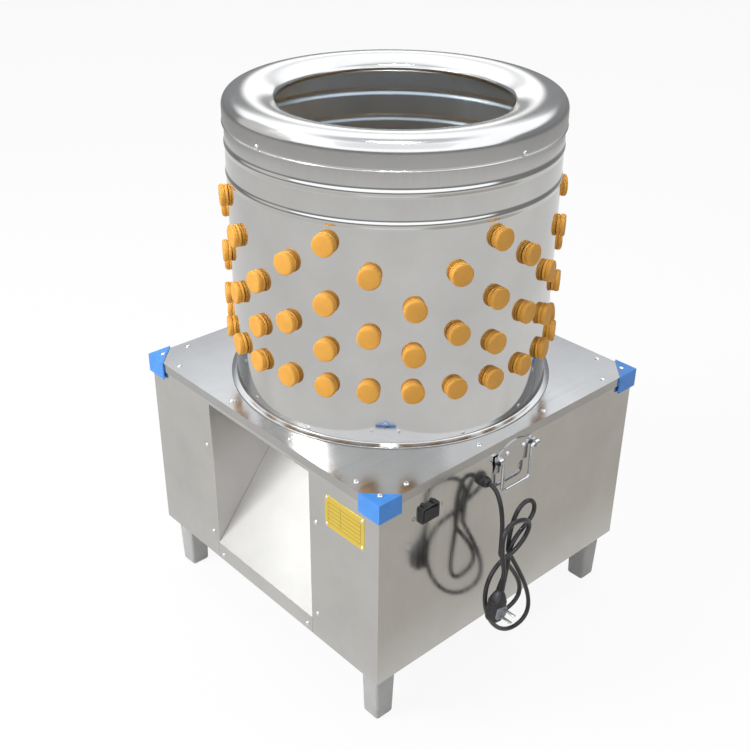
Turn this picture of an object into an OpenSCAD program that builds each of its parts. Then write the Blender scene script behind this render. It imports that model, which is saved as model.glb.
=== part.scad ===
// Drum plucker for poultry: a finger-lined barrel on a sheet-steel cabinet.
// Millimetres. +Z is up, the floor is z = 0, the chute opens towards -Y and
// the switch, mains lead and a carrying handle are on the +X side.

/* [Cabinet] */
// Outer width and depth of the square top plate
base_w = 566; // [510:1:622]
// Height of the cabinet from its lower edge to the top plate's face
box_h = 330; // [297:1:380]
// Thickness of the side panels and chute sheets
sheet_t = 1.5; // [1:0.1:2.5]
// Thickness of the top plate and its folded lip
plate_t = 2; // [1.5:0.1:3]
// Depth of the lip folded down around the top plate
lip_h = 15; // [10:0.5:18]
// Width of the frame's angle iron
angle_w = 20; // [18:0.5:24]
// Thickness of the frame's angle iron
angle_t = 3; // [2:0.1:4]
// Side of the square gusset welded in each lower corner
gusset_w = 62; // [56:1:80]

/* [Legs] */
// Height of the legs
leg_h = 95; // [60:1:140]
// Width of a leg at its top
leg_top_w = 38; // [32:0.5:42]
// Width of a leg at the floor
leg_foot_w = 33; // [24:0.5:36]
// Radius of a leg's upright edges
leg_edge_r = 5; // [2:0.5:9]
// Distance from the cabinet's side to the middle of a leg
leg_inset = 33; // [28:0.5:38]
// Diameter of the bolt that holds a leg
leg_bolt_d = 10; // [8:1:12]

/* [Corner guards] */
// Length of a guard along each side
guard_l = 40; // [34:0.5:55]
// Height of a guard's sides
guard_h = 29; // [20:0.5:40]
// Wall of a guard
guard_t = 2.5; // [1.5:0.1:4]

/* [Chute] */
// Width of the chute
chute_w = 250; // [200:1:270]
// Sideways place of the chute's middle
chute_x = 5; // [-10:1:10]
// Distance from the top plate's face to the upper edge of the chute's mouth
mouth_drop = 23; // [22.5:0.5:40]
// Height of the strip below the chute's mouth
strip_h = 32; // [28:0.5:45]
// Distance from the shaft's axis to the upper end of the chute's floor
chute_end = 49.7; // [48:0.1:60]
// Distance from the chute's side to the port in the top plate
port_inset = 20; // [15:1:60]
// Depth of the port as a share of the barrel's radius
port_share = 0.48; // [0.32:0.01:0.5]
// Distance to the port's middle as a share of the barrel's radius
port_y_share = 0.568; // [0.555:0.001:0.58]
// Width of the flanges that hold the chute's walls to the front panel
flange_w = 26; // [22:0.5:34]

/* [Barrel] */
// Distance from the barrel to the top plate's edge
plate_margin = 33; // [28:0.5:43]
// Height of the barrel above the top plate
barrel_h = 428; // [385:1:471]
// Wall of the barrel and of the rim cap
barrel_t = 1.5; // [1:0.1:2]
// Width of the flange at the barrel's foot
foot_w = 10; // [6:0.5:14]
// Height of each swaged rib
rib_h = 25; // [16:0.5:28]
// How far each rib stands out
rib_out = 2; // [0.5:0.1:3]
// Distance from the barrel's top to the upper rib's middle
rib_high_drop = 44; // [36:1:54]
// Distance from the barrel's top to the lower rib's middle
rib_low_drop = 88; // [82:1:92]

/* [Rim cap] */
// How far the skirt reaches down over the barrel
rim_lap = 15; // [13:0.5:20]
// Height of the skirt
skirt_h = 24; // [18:0.5:32]
// Gap between the skirt and the barrel
rim_gap = 0.6; // [0.3:0.1:1.2]
// Radius of the rounded shoulder above the skirt
shoulder_r = 18; // [12:0.5:24]
// Radius of the crowned top
crown_r = 95; // [85:1:130]
// Radius of the lip curled down into the mouth
lip_r = 7; // [4:0.5:10]
// Diameter of the mouth
mouth_d = 348; // [330:1:380]

/* [Fingers] */
// Diameter of a finger's head
head_d = 33.5; // [28:0.5:38]
// Thickness of a finger's head
head_h = 13; // [10:0.5:14]
// Diameter of the hole that a finger sits in
finger_hole_d = 23; // [18:0.5:25]
// Length of a finger from its hole to its tip
finger_l = 66; // [50:1:70]
// Diameter of a finger at its root
root_d = 22; // [18:0.5:24]
// Diameter of a finger at its tip
tip_d = 13; // [10:0.5:16]
// Number of finger columns around the barrel
columns = 25; // [21:4:25]
// Angle between columns
column_a = 14.1; // [13.8:0.05:14.4]
// Height of the lowest row as a share of the barrel's height
row_1_share = 0.215; // [0.2:0.001:0.24]
// Second row on even columns, as such a share
row_2_even_share = 0.35; // [0.335:0.001:0.365]
// Second row on odd columns, as such a share
row_2_odd_share = 0.416; // [0.4:0.001:0.43]
// Third row on even columns, as such a share
row_3_even_share = 0.514; // [0.5:0.001:0.53]
// Third row on odd columns, as such a share
row_3_odd_share = 0.626; // [0.61:0.001:0.64]
// Top row, on every fourth column, as such a share
row_4_share = 0.72; // [0.7:0.001:0.724]

/* [Plucking disc] */
// Gap between the disc and the barrel's outside
disc_gap = 18; // [10:1:30]
// Thickness of the disc
disc_t = 4; // [3:0.5:6]
// Height of the disc's underside above the top plate
disc_z = 29; // [27:0.5:34]
// Radius of the inner ring of disc fingers as a share of the barrel's radius
ring_1_share = 0.256; // [0.25:0.001:0.27]
// Radius of the middle ring, as such a share
ring_2_share = 0.44; // [0.425:0.001:0.46]
// Radius of the outer ring, as such a share
ring_3_share = 0.624; // [0.61:0.001:0.64]
// Thickness of a sweeper blade
blade_t = 6; // [4:0.5:8]

/* [Shaft and bearings] */
// Diameter of the drive shaft
shaft_d = 25; // [20:0.5:27]
// Outer diameter of a ball bearing
bearing_od = 52; // [50:0.5:56]
// Width of a ball bearing
bearing_w = 15; // [12:0.5:18]
// Diameter of a bearing's balls
ball_d = 7.8; // [6.5:0.1:8.2]
// Outer diameter of the bearing housing
housing_d = 76; // [70:1:80]
// Length of the bearing housing
housing_l = 170; // [120:1:190]
// Side of the housing's square flange
housing_flange = 110; // [104:1:120]
// Thickness of the bridge that carries the housing
bridge_t = 6; // [5:0.5:8]
// Front-to-back width of the bridge
bridge_w = 116; // [112:1:130]

/* [Belt drive] */
// Outer diameter of the driven pulley
driven_d = 220; // [180:1:230]
// Outer diameter of the motor pulley
driver_d = 54; // [50:0.5:60]
// Width of both pulleys' rims
pulley_w = 24; // [20:0.5:28]
// Width of the belt
belt_w = 9; // [7:0.5:10]
// Thickness of the belt
belt_t = 8; // [6:0.5:9]
// Height of the belt above the cabinet's lower edge
belt_z = 35; // [31:0.5:45]

/* [Motor] */
// Diameter of the motor's housing
motor_d = 144; // [130:1:150]
// Gap between the motor's fan cover and the top plate
motor_clear = 25; // [12:1:60]
// Gap between the motor's housing and its mounting plate
motor_gap = 16.5; // [14.5:0.5:20]
// Diameter of the motor's shaft
motor_shaft_d = 19; // [16:0.5:20]
// Thickness of the motor's mounting plate
mount_t = 6; // [4:0.5:8]

/* [Switch] */
// Width of the switch's bezel
switch_w = 36; // [34:0.5:42]
// Height of the switch's bezel
switch_h = 27; // [25:0.5:32]
// How far the bezel stands out
switch_out = 6; // [4:0.5:8]
// Distance from the cabinet's front to the middle of the switch
switch_inset = 96; // [83:1:108]
// Distance from the top plate's face to the middle of the switch
switch_drop = 56; // [50:1:70]
// Tilt of the rocker to each side in degrees
rocker_a = 8; // [5:0.5:9]

/* [Handles] */
// Distance between the legs of a handle's bail
bail_w = 62; // [56:0.5:66]
// Drop from a bail's pivot to its grip
bail_drop = 58; // [45:0.5:60]
// Diameter of a bail's wire
bail_d = 6; // [5:0.1:7]
// Sideways place of the handles along the cabinet's side
handle_y = -8; // [-16:1:0]
// Distance from the top plate's face to a bail's pivot
pivot_drop = 30; // [28:0.5:36]
// Width of a handle's plate
handle_w = 86; // [84:1:92]
// Height of a handle's plate
handle_h = 44; // [40:1:50]

/* [Nameplate] */
// Width of the nameplate
label_w = 84; // [60:1:90]
// Height of the nameplate
label_h = 54; // [40:1:60]
// Distance from the cabinet's side to the nameplate's middle
label_inset = 74; // [71:1:78]
// Distance from the top plate's face to the nameplate's middle
label_drop = 69; // [60:1:90]

/* [Mains lead] */
// Diameter of the lead
cord_d = 7; // [6:0.1:7.2]
// Diameter of the gland's flange
gland_d = 19; // [17:0.5:24]
// How far the gland stands out
gland_out = 13; // [11:0.5:16]

/* [Fasteners] */
// Shank diameter of the casing screws and rivets
screw_d = 4; // [3:0.1:5]
// Head diameter of the casing screws and rivets
screw_head_d = 8; // [6:0.1:9]
// Diameter of the bolts in the drive
bolt_d = 8; // [6:0.5:9]

/* [Hidden] */
$fn = 64;

// Clearances: a fixed shank in its hole, a running fit, a gap between parts that pass
fit = 0.1;
run = 0.06;
gap = 0.4;
// Length that cutters reach past a face
over = 1;

// Levels and faces of the cabinet
half = base_w / 2;
floor_z = leg_h;
plate_z = leg_h + box_h;
under_z = plate_z - plate_t;
panel_out = half - plate_t;
panel_in = panel_out - sheet_t;
flange_in = panel_in - angle_t;
panel_h = under_z - floor_z;

// Screws along the top plate's edges and on the front
edge_inset = 15;
edge_end = 64;
edge_screws = [for (share = [-1, -0.33, 0.33, 1]) share * (half - edge_end)];
front_screw_drops = [106, 281];
front_screw_inset = 14;
strip_screw_z = floor_z + 12;
strip_screw_inset = 12;
edge_line = half - edge_inset;

// The chute's floor is a line in the YZ plane through the top of the strip
strip_top = floor_z + strip_h;
slope_end = -chute_end;
slope_a = atan((under_z - strip_top) / (panel_out - chute_end));
chute_left = chute_x - chute_w / 2;
chute_right = chute_x + chute_w / 2;
wall_drop = 8;
function slope_z(y) = strip_top + (y + panel_out) * tan(slope_a);

// Barrel and rim cap
barrel_r = half - plate_margin;
barrel_in = barrel_r - barrel_t;
foot_t = 2;
rib_high_z = barrel_h - rib_high_drop;
rib_low_z = barrel_h - rib_low_drop;
port_w = chute_w - 2 * port_inset;
port_l = port_share * barrel_r;
port_y = port_y_share * barrel_r;
rim_z = barrel_h - rim_lap;
skirt_r = barrel_r + rim_gap + barrel_t;
bead_r = 1.4;
shoulder_end = 80;
shoulder_c = [skirt_r - shoulder_r, rim_z + skirt_h];
crown_c = shoulder_c + (shoulder_r - crown_r) * [cos(shoulder_end), sin(shoulder_end)];
crown_end = acos((mouth_d / 2 + lip_r - crown_c[0]) / (crown_r - lip_r));
lip_c = crown_c + (crown_r - lip_r) * [cos(crown_end), sin(crown_end)];
lip_end = 225;
rim_rivet_z = rim_z + bead_r + screw_head_d / 2 + gap;
rim_rivet_angles = [0, 90, 180, 270];

// Finger columns: every column has the lowest row, even and odd columns alternate above it
column_ids = [for (i = [0 : columns - 1]) i - (columns - 1) / 2];
function column_angle(k) = -36 + k * column_a;
function is_odd(k) = abs(k) % 2 == 1;
function is_top(k) = (abs(k) + 2) % 4 == 0;
lower_rows = [for (k = column_ids) [k, row_1_share * barrel_h]];
middle_rows = [for (k = column_ids)
  for (share = is_odd(k) ? [row_2_odd_share] : [row_2_even_share, row_3_even_share])
    [k, share * barrel_h]];
upper_rows = [for (k = column_ids)
  for (share = is_odd(k) ? [row_3_odd_share] : is_top(k) ? [row_4_share] : []) [k, share * barrel_h]];
finger_seats = concat(lower_rows, middle_rows, upper_rows);
collar_out = 2.5;
collar_t = 2.4;
collar_r = finger_hole_d / 2 + collar_out;
wall_bow = barrel_in - sqrt(barrel_in * barrel_in - collar_r * collar_r);
rib_count = 5;
rib_rise = 0.4;
rib_fall = 1;
root_gap = 4;
tip_l = 3;
tip_round = 2.5;
head_round = 3;
head_groove = [5.4, 4.9, 4.3, 3.8];
groove_in = 2;
seat_in = 0.4;

// Disc and what turns with it
disc_r = barrel_r - disc_gap;
disc_low = plate_z + disc_z;
disc_top = disc_low + disc_t;
ring_1_r = ring_1_share * barrel_r;
disc_rings = [[ring_1_r, 6, 30], [ring_2_share * barrel_r, 12, 15], [ring_3_share * barrel_r, 16, 11.25]];
hub_gap = 5.25;
hub_r = ring_1_r - head_d / 2 - hub_gap;
hub_t = 8;
boss_r = 24;
boss_low = plate_z + 8;
cap_r = 30;
cap_h = 24;
shaft_r = shaft_d / 2;
shaft_top = disc_top + 15;
blade_inner = 60;
blade_outer = disc_r - 14;
blade_low = plate_z + 2;
seal_r = 20;
seal_flange_r = 26;
seal_flange_t = 3;

// Bridge and bearings
bridge_top = under_z - angle_w - 4;
bridge_low = bridge_top - bridge_t;
bridge_y = 10;
housing_low = bridge_low - housing_l;
housing_flange_t = 12;
housing_bolt = housing_flange / 2 - 13;
race_r = (bearing_od / 2 + shaft_r) / 2;
race_gap = 2.6;
ball_count = 9;
bearing_levels = [bridge_low - bearing_w / 2, housing_low + bearing_w / 2];
bridge_bolt_y = [bridge_y - 35, bridge_y + 35];
bridge_bolt_z = bridge_top + 9;

// Motor
drive_z = floor_z + belt_z;
motor_low = drive_z + 42;
motor_r = motor_d / 2;
bell_t = 12;
rotor_r = 45;
motor_shaft_r = motor_shaft_d / 2;
fan_cover_h = 36;
motor_l = under_z - motor_clear - fan_cover_h - motor_low;
motor_top = motor_low + motor_l;
fan_r = motor_r - 14;
mount_y = flange_in - mount_t;
motor_y = mount_y - motor_gap - motor_r;
mount_w = motor_d + 26;
foot_half = motor_r + 4;
foot_lap = 14;
foot_depth = motor_gap + foot_lap;
motor_bolt_x = motor_r - 8;
foot_end = 20;
motor_bolt_z = [motor_low + 2 * foot_end, motor_low + motor_l - 2 * foot_end];
shaft_tail = 17;
shaft_rise = 24;
rotor_low_gap = 16;
rotor_high_gap = 30;
fan_gap = 6;
fan_t = 3;
fan_hub_t = 5;
fan_hub_h = 16;
vane_a = 45;
vane_t = 2;
vane_h = 14;
vane_lap = 1;
vane_in = 2;
fan_cover_step = 4;
fan_cover_t = 2;
vent_r = 8;
box_x = motor_r - 12;
box_w = 56;
box_d = 68;
box_l = 0.47 * motor_l;
box_low = motor_low + 0.32 * motor_l;

// Pulleys and belt
shaft_low = drive_z - shaft_tail;
groove_depth = belt_t + 2.4;
groove_flare = 4;
pulley_wall = 9;
pulley_hub_wall = 4;
pulley_hub_side = 3;
pulley_step = 0.5;
driven_hub_r = 30;
driven_web = 4;
driver_hub_r = 15;
driver_web = 8;
belt_driven_r = driven_d / 2 - groove_depth + gap;
belt_driver_r = driver_d / 2 - groove_depth + gap;
belt_a = asin((belt_driven_r - belt_driver_r) / motor_y);

// Switch
switch_y = half - switch_inset;
switch_z = plate_z - switch_drop;
rocker_w = switch_w - 9;
rocker_h = switch_h - 9;
pivot_in = 2.5;
rocker_x = panel_out + switch_out - pivot_in;
cutout_w = switch_w - 6;
cutout_h = switch_h - 6;
body_depth = 26;
bezel_round = 3;
catch_d = 7;
catch_step = 1;
well_depth = 8;
rocker_pin_d = 3;
rocker_pin_l = rocker_h + 5;
pin_room = 0.5;
rocker_side = 0.6;
rocker_horn = 4.5;
rocker_dip = 3.2;
rocker_back = [2.4, 3];

// Handles
handle_plate_t = 1.6;
lug_d = bail_d + 5;
pivot_x = half + handle_plate_t + lug_d / 2;
pivot_z = plate_z - pivot_drop;
bail_r = bail_d / 2;
bend_top = 5;
bend_low = 9;
lug_in = bail_w / 2 + bend_top + 0.5;
lug_out = handle_w / 2 + 1;
handle_top = plate_z - 10;
arch_share = 0.62;
pad_side = 6;
pad_low = 2;
handle_rivet_y = 18;
handle_rivet_z = plate_z - 27;

// Nameplate
label_t = 0.8;
label_x = half - label_inset;
label_z = plate_z - label_drop;
label_rivet = [label_w / 2 - 4, label_h / 2 - 4];
label_rivet_d = 3;

// Lead: gland, free stretch, hank and plug
cord_r = cord_d / 2;
gland_y = -74;
gland_drop = 55;
gland_hex_share = 0.4;
gland_step = 1.5;
gland_in = 14;
gland_neck = 6;
nose_wall = 2;
relief_wall = 3;
relief_lip = 0.6;
grip_round = 6;
gland_z = plate_z - gland_drop;
gland_nose = [panel_out + gland_out, gland_y, gland_z];
waist = gland_nose + [46, 2, -106];
layer = cord_d + 1;

// Hank: figure-of-eight lobes that cross at the waist, each half lobe a cubic curve.
// A lobe is [start, heading, middle, heading, end, heading, layers, pulls], in the YZ plane around
// the waist; headings are degrees from straight up turning towards +Y, and layers count along X.
lobes = [
  [[-5, 0], 175, [29, -115], 255, [6, -2.5], 4, [-1.5, -0.5], [17, 53, 56]],
  [[6, -2.5], 4, [61, 53], 7, [12, -1], 180, [-0.5, -1.5], [38, 25, 95]],
  [[12, -1], 180, [42, -162], 270, [-3, 6], 87, [-1.5, 0.5], [14, 74, 96]],
  [[-3, 6], 87, [-1, 71], 287, [-35, 0], 182, [0.5, 2.75], [29, 62, 14]]
];
lobe_rings = 24;
last_lobe = lobes[len(lobes) - 1];

// The free stretch leaves the gland straight and comes down straight into the hank
lead_stub = 2;
lead_pulls = [20, 40];
lead_rings = 14;
hank_lead = 30;
lead_end = waist + [lobes[0][6][0] * layer, lobes[0][0][0], hank_lead];

// The hank's last steps turn into the plug
tail_headings = [184, 188, 192];
tail_step = 4;
plug_tilt = tail_headings[len(tail_headings) - 1] - 180;
relief_l = 20;
grip_w = 25;
grip_l = 50;
grip_d = 23;
pin_l = 22;
pin_w = 6.4;
pin_t = 1.6;
pin_share = 0.62;
pin_apart = [2.5, 5];

// Round-cornered rectangle from plain squares and circles
module rounded(w, h, r) {
  square([w - 2 * r, h], center = true);
  square([w, h - 2 * r], center = true);
  for (x = [-1, 1])
    for (y = [-1, 1])
      translate([x * (w / 2 - r), y * (h / 2 - r)]) circle(r);
}

// Square ring around the Z axis
module square_ring(outer, inner, z, h) {
  translate([0, 0, z])
    linear_extrude(h)
      difference() {
        square(2 * outer, center = true);
        square(2 * inner, center = true);
      }
}

// Places its child at the four corners of a square
module corners(offset) {
  for (x = [-1, 1])
    for (y = [-1, 1])
      translate([x * offset, y * offset, 0]) children();
}

// Places its child along the four edges of the top plate
module edge_places() {
  for (turn = [0 : 90 : 270])
    rotate(turn)
      for (x = edge_screws)
        translate([x, -edge_line, 0]) children();
}

// Places its child on the front panel's screws, looking out along -Y
module front_places() {
  for (x = [chute_left - front_screw_inset, chute_right + front_screw_inset])
    for (drop = front_screw_drops)
      translate([x, -panel_out, plate_z - drop]) rotate([90, 0, 0]) children();
}

// Places its child on the strip's screws, looking out along -Y
module strip_places() {
  for (x = [chute_left + strip_screw_inset, chute_right - strip_screw_inset])
    translate([x, -panel_out, strip_screw_z]) rotate([90, 0, 0]) children();
}

// Dome-headed screw or rivet: the head's seat is at z = 0 and the shank runs down
module dome_screw(d, head, shank) {
  rotate_extrude()
    polygon([[0, -shank], [d / 2, -shank], [d / 2, 0], [head / 2, 0], [head / 2, head * 0.1],
      [head * 0.38, head * 0.22], [head * 0.17, head * 0.28], [0, head * 0.28]]);
}

// Hexagon bolt: the head's seat is at z = 0 and the shank runs down
module hex_bolt(d, shank) {
  cylinder(d = 1.9 * d, h = 0.65 * d, $fn = 6);
  translate([0, 0, -shank]) cylinder(d = d, h = shank);
}

// Cutter for a shank, along Z through its seat
module shank_hole(d, depth) {
  translate([0, 0, -depth]) cylinder(d = d + 2 * fit, h = depth + over);
}

// Closed tube of triangles around a list of points
function unit(v) = v / norm(v);
function heading(p, i) = unit(p[min(i + 1, len(p) - 1)] - p[max(i - 1, 0)]);
function turned(n, t) = unit(n - (n * t) * t);
function first_normal(t) = unit(cross(t, abs(t[0]) < 0.9 ? [1, 0, 0] : [0, 1, 0]));
function normals(p) = [for (i = 0, n = first_normal(heading(p, 0)); i < len(p);
  i = i + 1, n = i < len(p) ? turned(n, heading(p, i)) : n) n];
function ring(c, t, n, r, sides) = [for (k = [0 : sides - 1])
  c + r * (cos(360 * k / sides) * n + sin(360 * k / sides) * cross(t, n))];
module tube(p, r, sides) {
  n = normals(p);
  last = len(p) - 1;
  points = [for (i = [0 : last]) each ring(p[i], heading(p, i), n[i], r, sides)];
  side_faces = [for (i = [0 : last - 1]) for (k = [0 : sides - 1])
    let (a = i * sides + k, b = i * sides + (k + 1) % sides)
      each [[a, a + sides, b], [b, a + sides, b + sides]]];
  near_cap = [for (k = [1 : sides - 2]) [0, k, k + 1]];
  far_cap = [for (k = [1 : sides - 2]) [last * sides, last * sides + k + 1, last * sides + k]];
  polyhedron(points, concat(side_faces, near_cap, far_cap));
}

// Points of the lead, from its cubic curves
function aim(a) = [sin(a), cos(a)];
function bezier(a, b, c, d, t) =
  pow(1 - t, 3) * a + 3 * t * pow(1 - t, 2) * b + 3 * t * t * (1 - t) * c + pow(t, 3) * d;
function lobe_point(l, t) =
  t < 0.5
    ? bezier(l[0], l[0] + l[7][0] * aim(l[1]), l[2] - l[7][1] * aim(l[3]), l[2], 2 * t)
    : bezier(l[2], l[2] + l[7][1] * aim(l[3]), l[4] - l[7][2] * aim(l[5]), l[4], 2 * t - 1);
function lobe_layer(l, t) = l[6][0] + (l[6][1] - l[6][0]) * (1 - cos(180 * t)) / 2;
function in_space(l, t) = let (p = lobe_point(l, t)) waist + [layer * lobe_layer(l, t), p[0], p[1]];
function tail_point(n) = n == 0 ? in_space(last_lobe, 1)
  : let (turn = aim(tail_headings[n - 1])) tail_point(n - 1) + tail_step * [0, turn[0], turn[1]];
function hank_points(steps) = concat([lead_end, lead_end - [0, 0, hank_lead / 3]],
  [for (l = lobes) for (i = [0 : steps - 1]) in_space(l, i / steps)],
  [for (n = [0 : len(tail_headings)]) tail_point(n)]);
function lead_points() =
  let (a = gland_nose + [lead_stub, 0, 0], d = lead_end + [0, 0, lead_stub])
    concat([gland_nose],
      [for (i = [0 : lead_rings])
        bezier(a, a + [lead_pulls[0], 0, 0], d + [0, 0, lead_pulls[1]], d, i / lead_rings)],
      [lead_end]);

// Least gap between strands of a tube, measured on points at least a given count apart
function least_gap(p, apart, d) =
  min([for (i = [0 : len(p) - 1 - apart]) for (j = [i + apart : len(p) - 1]) norm(p[i] - p[j])]) - d;

module base_frame() {
  color("dimgray")
    difference() {
      union() {
        square_ring(panel_in, panel_in - angle_w, under_z - angle_t, angle_t);
        square_ring(panel_in, flange_in, under_z - angle_w, angle_w);
        square_ring(panel_in, panel_in - angle_w, floor_z, angle_t);
        square_ring(panel_in, flange_in, floor_z, angle_w);
        for (turn = [0 : 90 : 270])
          rotate(turn)
            translate([-panel_in, -panel_in, floor_z]) {
              cube([angle_w, angle_t, panel_h]);
              cube([angle_t, angle_w, panel_h]);
              cube([gusset_w, gusset_w, angle_t]);
            }
      }
      translate([0, 0, under_z]) edge_places() shank_hole(screw_d, angle_t + over);
      translate([0, 0, under_z]) corners(edge_line) shank_hole(screw_d, angle_t + over);
      translate([0, 0, floor_z + angle_t]) corners(half - leg_inset) shank_hole(leg_bolt_d, angle_t + over);
      strip_places() shank_hole(screw_d, sheet_t + angle_t + over);
      for (side = [-1, 1])
        for (y = bridge_bolt_y)
          translate([side * flange_in, y, bridge_bolt_z])
            rotate([0, -side * 90, 0]) shank_hole(bolt_d, angle_t + over);
    }
}

module top_plate() {
  color("gainsboro")
    difference() {
      union() {
        translate([-half, -half, under_z]) cube([base_w, base_w, plate_t]);
        square_ring(half, panel_out, plate_z - lip_h, lip_h - plate_t);
      }
      translate([chute_x - port_w / 2, -port_y - port_l / 2, under_z - over])
        cube([port_w, port_l, plate_t + 2 * over]);
      translate([0, 0, under_z - over]) cylinder(r = seal_r, h = plate_t + 2 * over);
      translate([0, 0, plate_z]) edge_places() shank_hole(screw_d, plate_t + over);
      translate([0, 0, plate_z]) corners(edge_line) shank_hole(screw_d, plate_t + over);
    }
}

// Panel across the front or rear, outer face towards -Y
module wide_panel() {
  translate([-panel_out, -panel_out, floor_z]) cube([2 * panel_out, sheet_t, panel_h]);
}

// Panel between the front and rear ones, outer face towards +X
module side_panel() {
  translate([panel_in, -panel_in, floor_z]) cube([sheet_t, 2 * panel_in, panel_h]);
}

module front_panel() {
  color("silver")
    difference() {
      wide_panel();
      translate([chute_left, -panel_out - over, floor_z - over])
        cube([chute_w, sheet_t + 2 * over, box_h - mouth_drop + over]);
      front_places() shank_hole(screw_d, sheet_t + over);
      label_places() shank_hole(label_rivet_d, sheet_t + label_t + over);
    }
}

module rear_panel() {
  color("silver") rotate(180) wide_panel();
}

module right_panel() {
  color("silver")
    difference() {
      side_panel();
      translate([panel_in - over, -switch_y, switch_z])
        rotate([90, 0, 90])
          linear_extrude(sheet_t + 2 * over)
            square([cutout_w + 2 * fit, cutout_h + 2 * fit], center = true);
      translate([panel_in - over, gland_y, gland_z])
        rotate([0, 90, 0]) cylinder(d = gland_d - gland_neck + 2 * fit, h = sheet_t + 2 * over);
      handle_rivet_places(1) shank_hole(screw_d, handle_plate_t + plate_t + sheet_t + over);
    }
}

module left_panel() {
  color("silver")
    difference() {
      rotate(180) side_panel();
      handle_rivet_places(-1) shank_hole(screw_d, handle_plate_t + plate_t + sheet_t + over);
    }
}

module chute_slope() {
  bend_z = strip_top + sheet_t * (tan(slope_a) - 1 / cos(slope_a));
  color("whitesmoke")
    difference() {
      translate([chute_left + gap, 0, 0])
        rotate([90, 0, 90])
          linear_extrude(chute_w - 2 * gap)
            polygon([[-panel_out, floor_z], [-panel_out, strip_top], [slope_end, under_z],
              [slope_end + sheet_t / sin(slope_a), under_z], [-panel_in, bend_z], [-panel_in, floor_z]]);
      strip_places() shank_hole(screw_d, sheet_t + over);
    }
}

// Right-hand chute wall with its front flange
module chute_wall() {
  low = slope_z(-panel_in) - wall_drop;
  notch_y = -panel_in + angle_w + gap;
  notch_z = under_z - angle_w - gap;
  translate([chute_right, 0, 0])
    rotate([90, 0, 90])
      linear_extrude(sheet_t)
        polygon([[-panel_in, low], [-panel_in, notch_z], [notch_y, notch_z], [notch_y, under_z],
          [slope_end, under_z], [slope_end, under_z - wall_drop]]);
  translate([chute_right, -panel_in, low]) cube([flange_w, sheet_t, notch_z - low]);
}

module chute_walls() {
  color("rosybrown")
    difference() {
      union() {
        chute_wall();
        translate([2 * chute_x, 0, 0]) mirror([1, 0, 0]) chute_wall();
      }
      front_places() shank_hole(screw_d, 2 * sheet_t + over);
    }
}

// Points of a swaged rib on a wall of radius r, from its lower to its upper end
function rib(r, z) = [for (a = [-1 : 0.25 : 1]) [r + rib_out * (1 + cos(180 * a)) / 2, z + a * rib_h / 2]];
function backwards(p) = [for (i = [len(p) - 1 : -1 : 0]) p[i]];

module barrel() {
  color("lightgray")
    difference() {
      translate([0, 0, plate_z])
        rotate_extrude($fn = 128)
          polygon(concat(
            [[barrel_in, 0], [barrel_r + foot_w, 0], [barrel_r + foot_w, foot_t], [barrel_r, foot_t]],
            rib(barrel_r, rib_low_z), rib(barrel_r, rib_high_z),
            [[barrel_r, barrel_h], [barrel_in, barrel_h]],
            backwards(rib(barrel_in, rib_high_z)), backwards(rib(barrel_in, rib_low_z))));
      for (seat = finger_seats)
        finger_place(seat) cylinder(d = finger_hole_d, h = 8 * barrel_t, center = true);
      translate([0, 0, plate_z + rim_rivet_z])
        for (a = rim_rivet_angles)
          rotate([0, 90, a]) translate([0, 0, barrel_r]) shank_hole(screw_d, 4 * barrel_t);
    }
}

function arc(c, r, from, to, steps) = [for (i = [0 : steps])
  let (a = from + (to - from) * i / steps) c + r * [cos(a), sin(a)]];

// Rim cap's outline at a distance in from its outer face
function rim_line(inset) = concat(
  [[skirt_r - inset, rim_z]],
  arc(shoulder_c, shoulder_r - inset, 0, shoulder_end, 8),
  arc(crown_c, crown_r - inset, shoulder_end + 4, crown_end, 8),
  arc(lip_c, lip_r - inset, crown_end + 12, lip_end, 6));

module rim_cap() {
  color("white")
    difference() {
      translate([0, 0, plate_z])
        rotate_extrude($fn = 128)
          union() {
            polygon(concat(rim_line(0), backwards(rim_line(barrel_t))));
            translate([skirt_r - barrel_t, rim_z]) square([barrel_t + bead_r / 2, bead_r]);
          }
      translate([0, 0, plate_z + rim_rivet_z])
        for (a = rim_rivet_angles)
          rotate([0, 90, a]) translate([0, 0, skirt_r]) shank_hole(screw_d, barrel_t + over);
    }
}

// Finger: its seat is at z = 0 with the head below, and the tail rises through a wall
module finger(wall) {
  r = head_d / 2;
  neck = finger_hole_d / 2 - fit;
  start = wall + root_gap;
  pitch = (finger_l - start - tip_l) / rib_count;
  function tail_r(i) = (root_d + (tip_d - root_d) * i / rib_count) / 2;
  rotate_extrude($fn = 32)
    polygon(concat(
      [[0, -head_h], [r - head_round, -head_h], [r - head_round / 4, head_round / 3 - head_h],
        [r, head_round - head_h], [r, -head_groove[0]], [r - groove_in, -head_groove[1]],
        [r - groove_in, -head_groove[2]], [r - seat_in, -head_groove[3]], [r - seat_in, -fit],
        [neck, -fit], [neck, wall + fit], [collar_r, wall + fit], [collar_r, wall + fit + collar_t]],
      [for (i = [0 : rib_count - 1])
        each [[tail_r(i), start + i * pitch], [tail_r(i) + rib_rise, start + (i + 0.45) * pitch],
          [tail_r(i) - rib_fall, start + (i + 0.65) * pitch]]],
      [[tip_d / 2, finger_l - tip_l], [tip_d / 2 - tip_round, finger_l], [0, finger_l]]));
}

// Places its child at a finger's hole in the barrel, with +Z pointing to the barrel's axis
module finger_place(seat) {
  rotate(column_angle(seat[0]))
    translate([barrel_r, 0, plate_z + seat[1]]) rotate([0, -90, 0]) children();
}

module barrel_fingers(seats) {
  color("sandybrown")
    for (seat = seats)
      finger_place(seat) finger(barrel_t + wall_bow);
}

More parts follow.
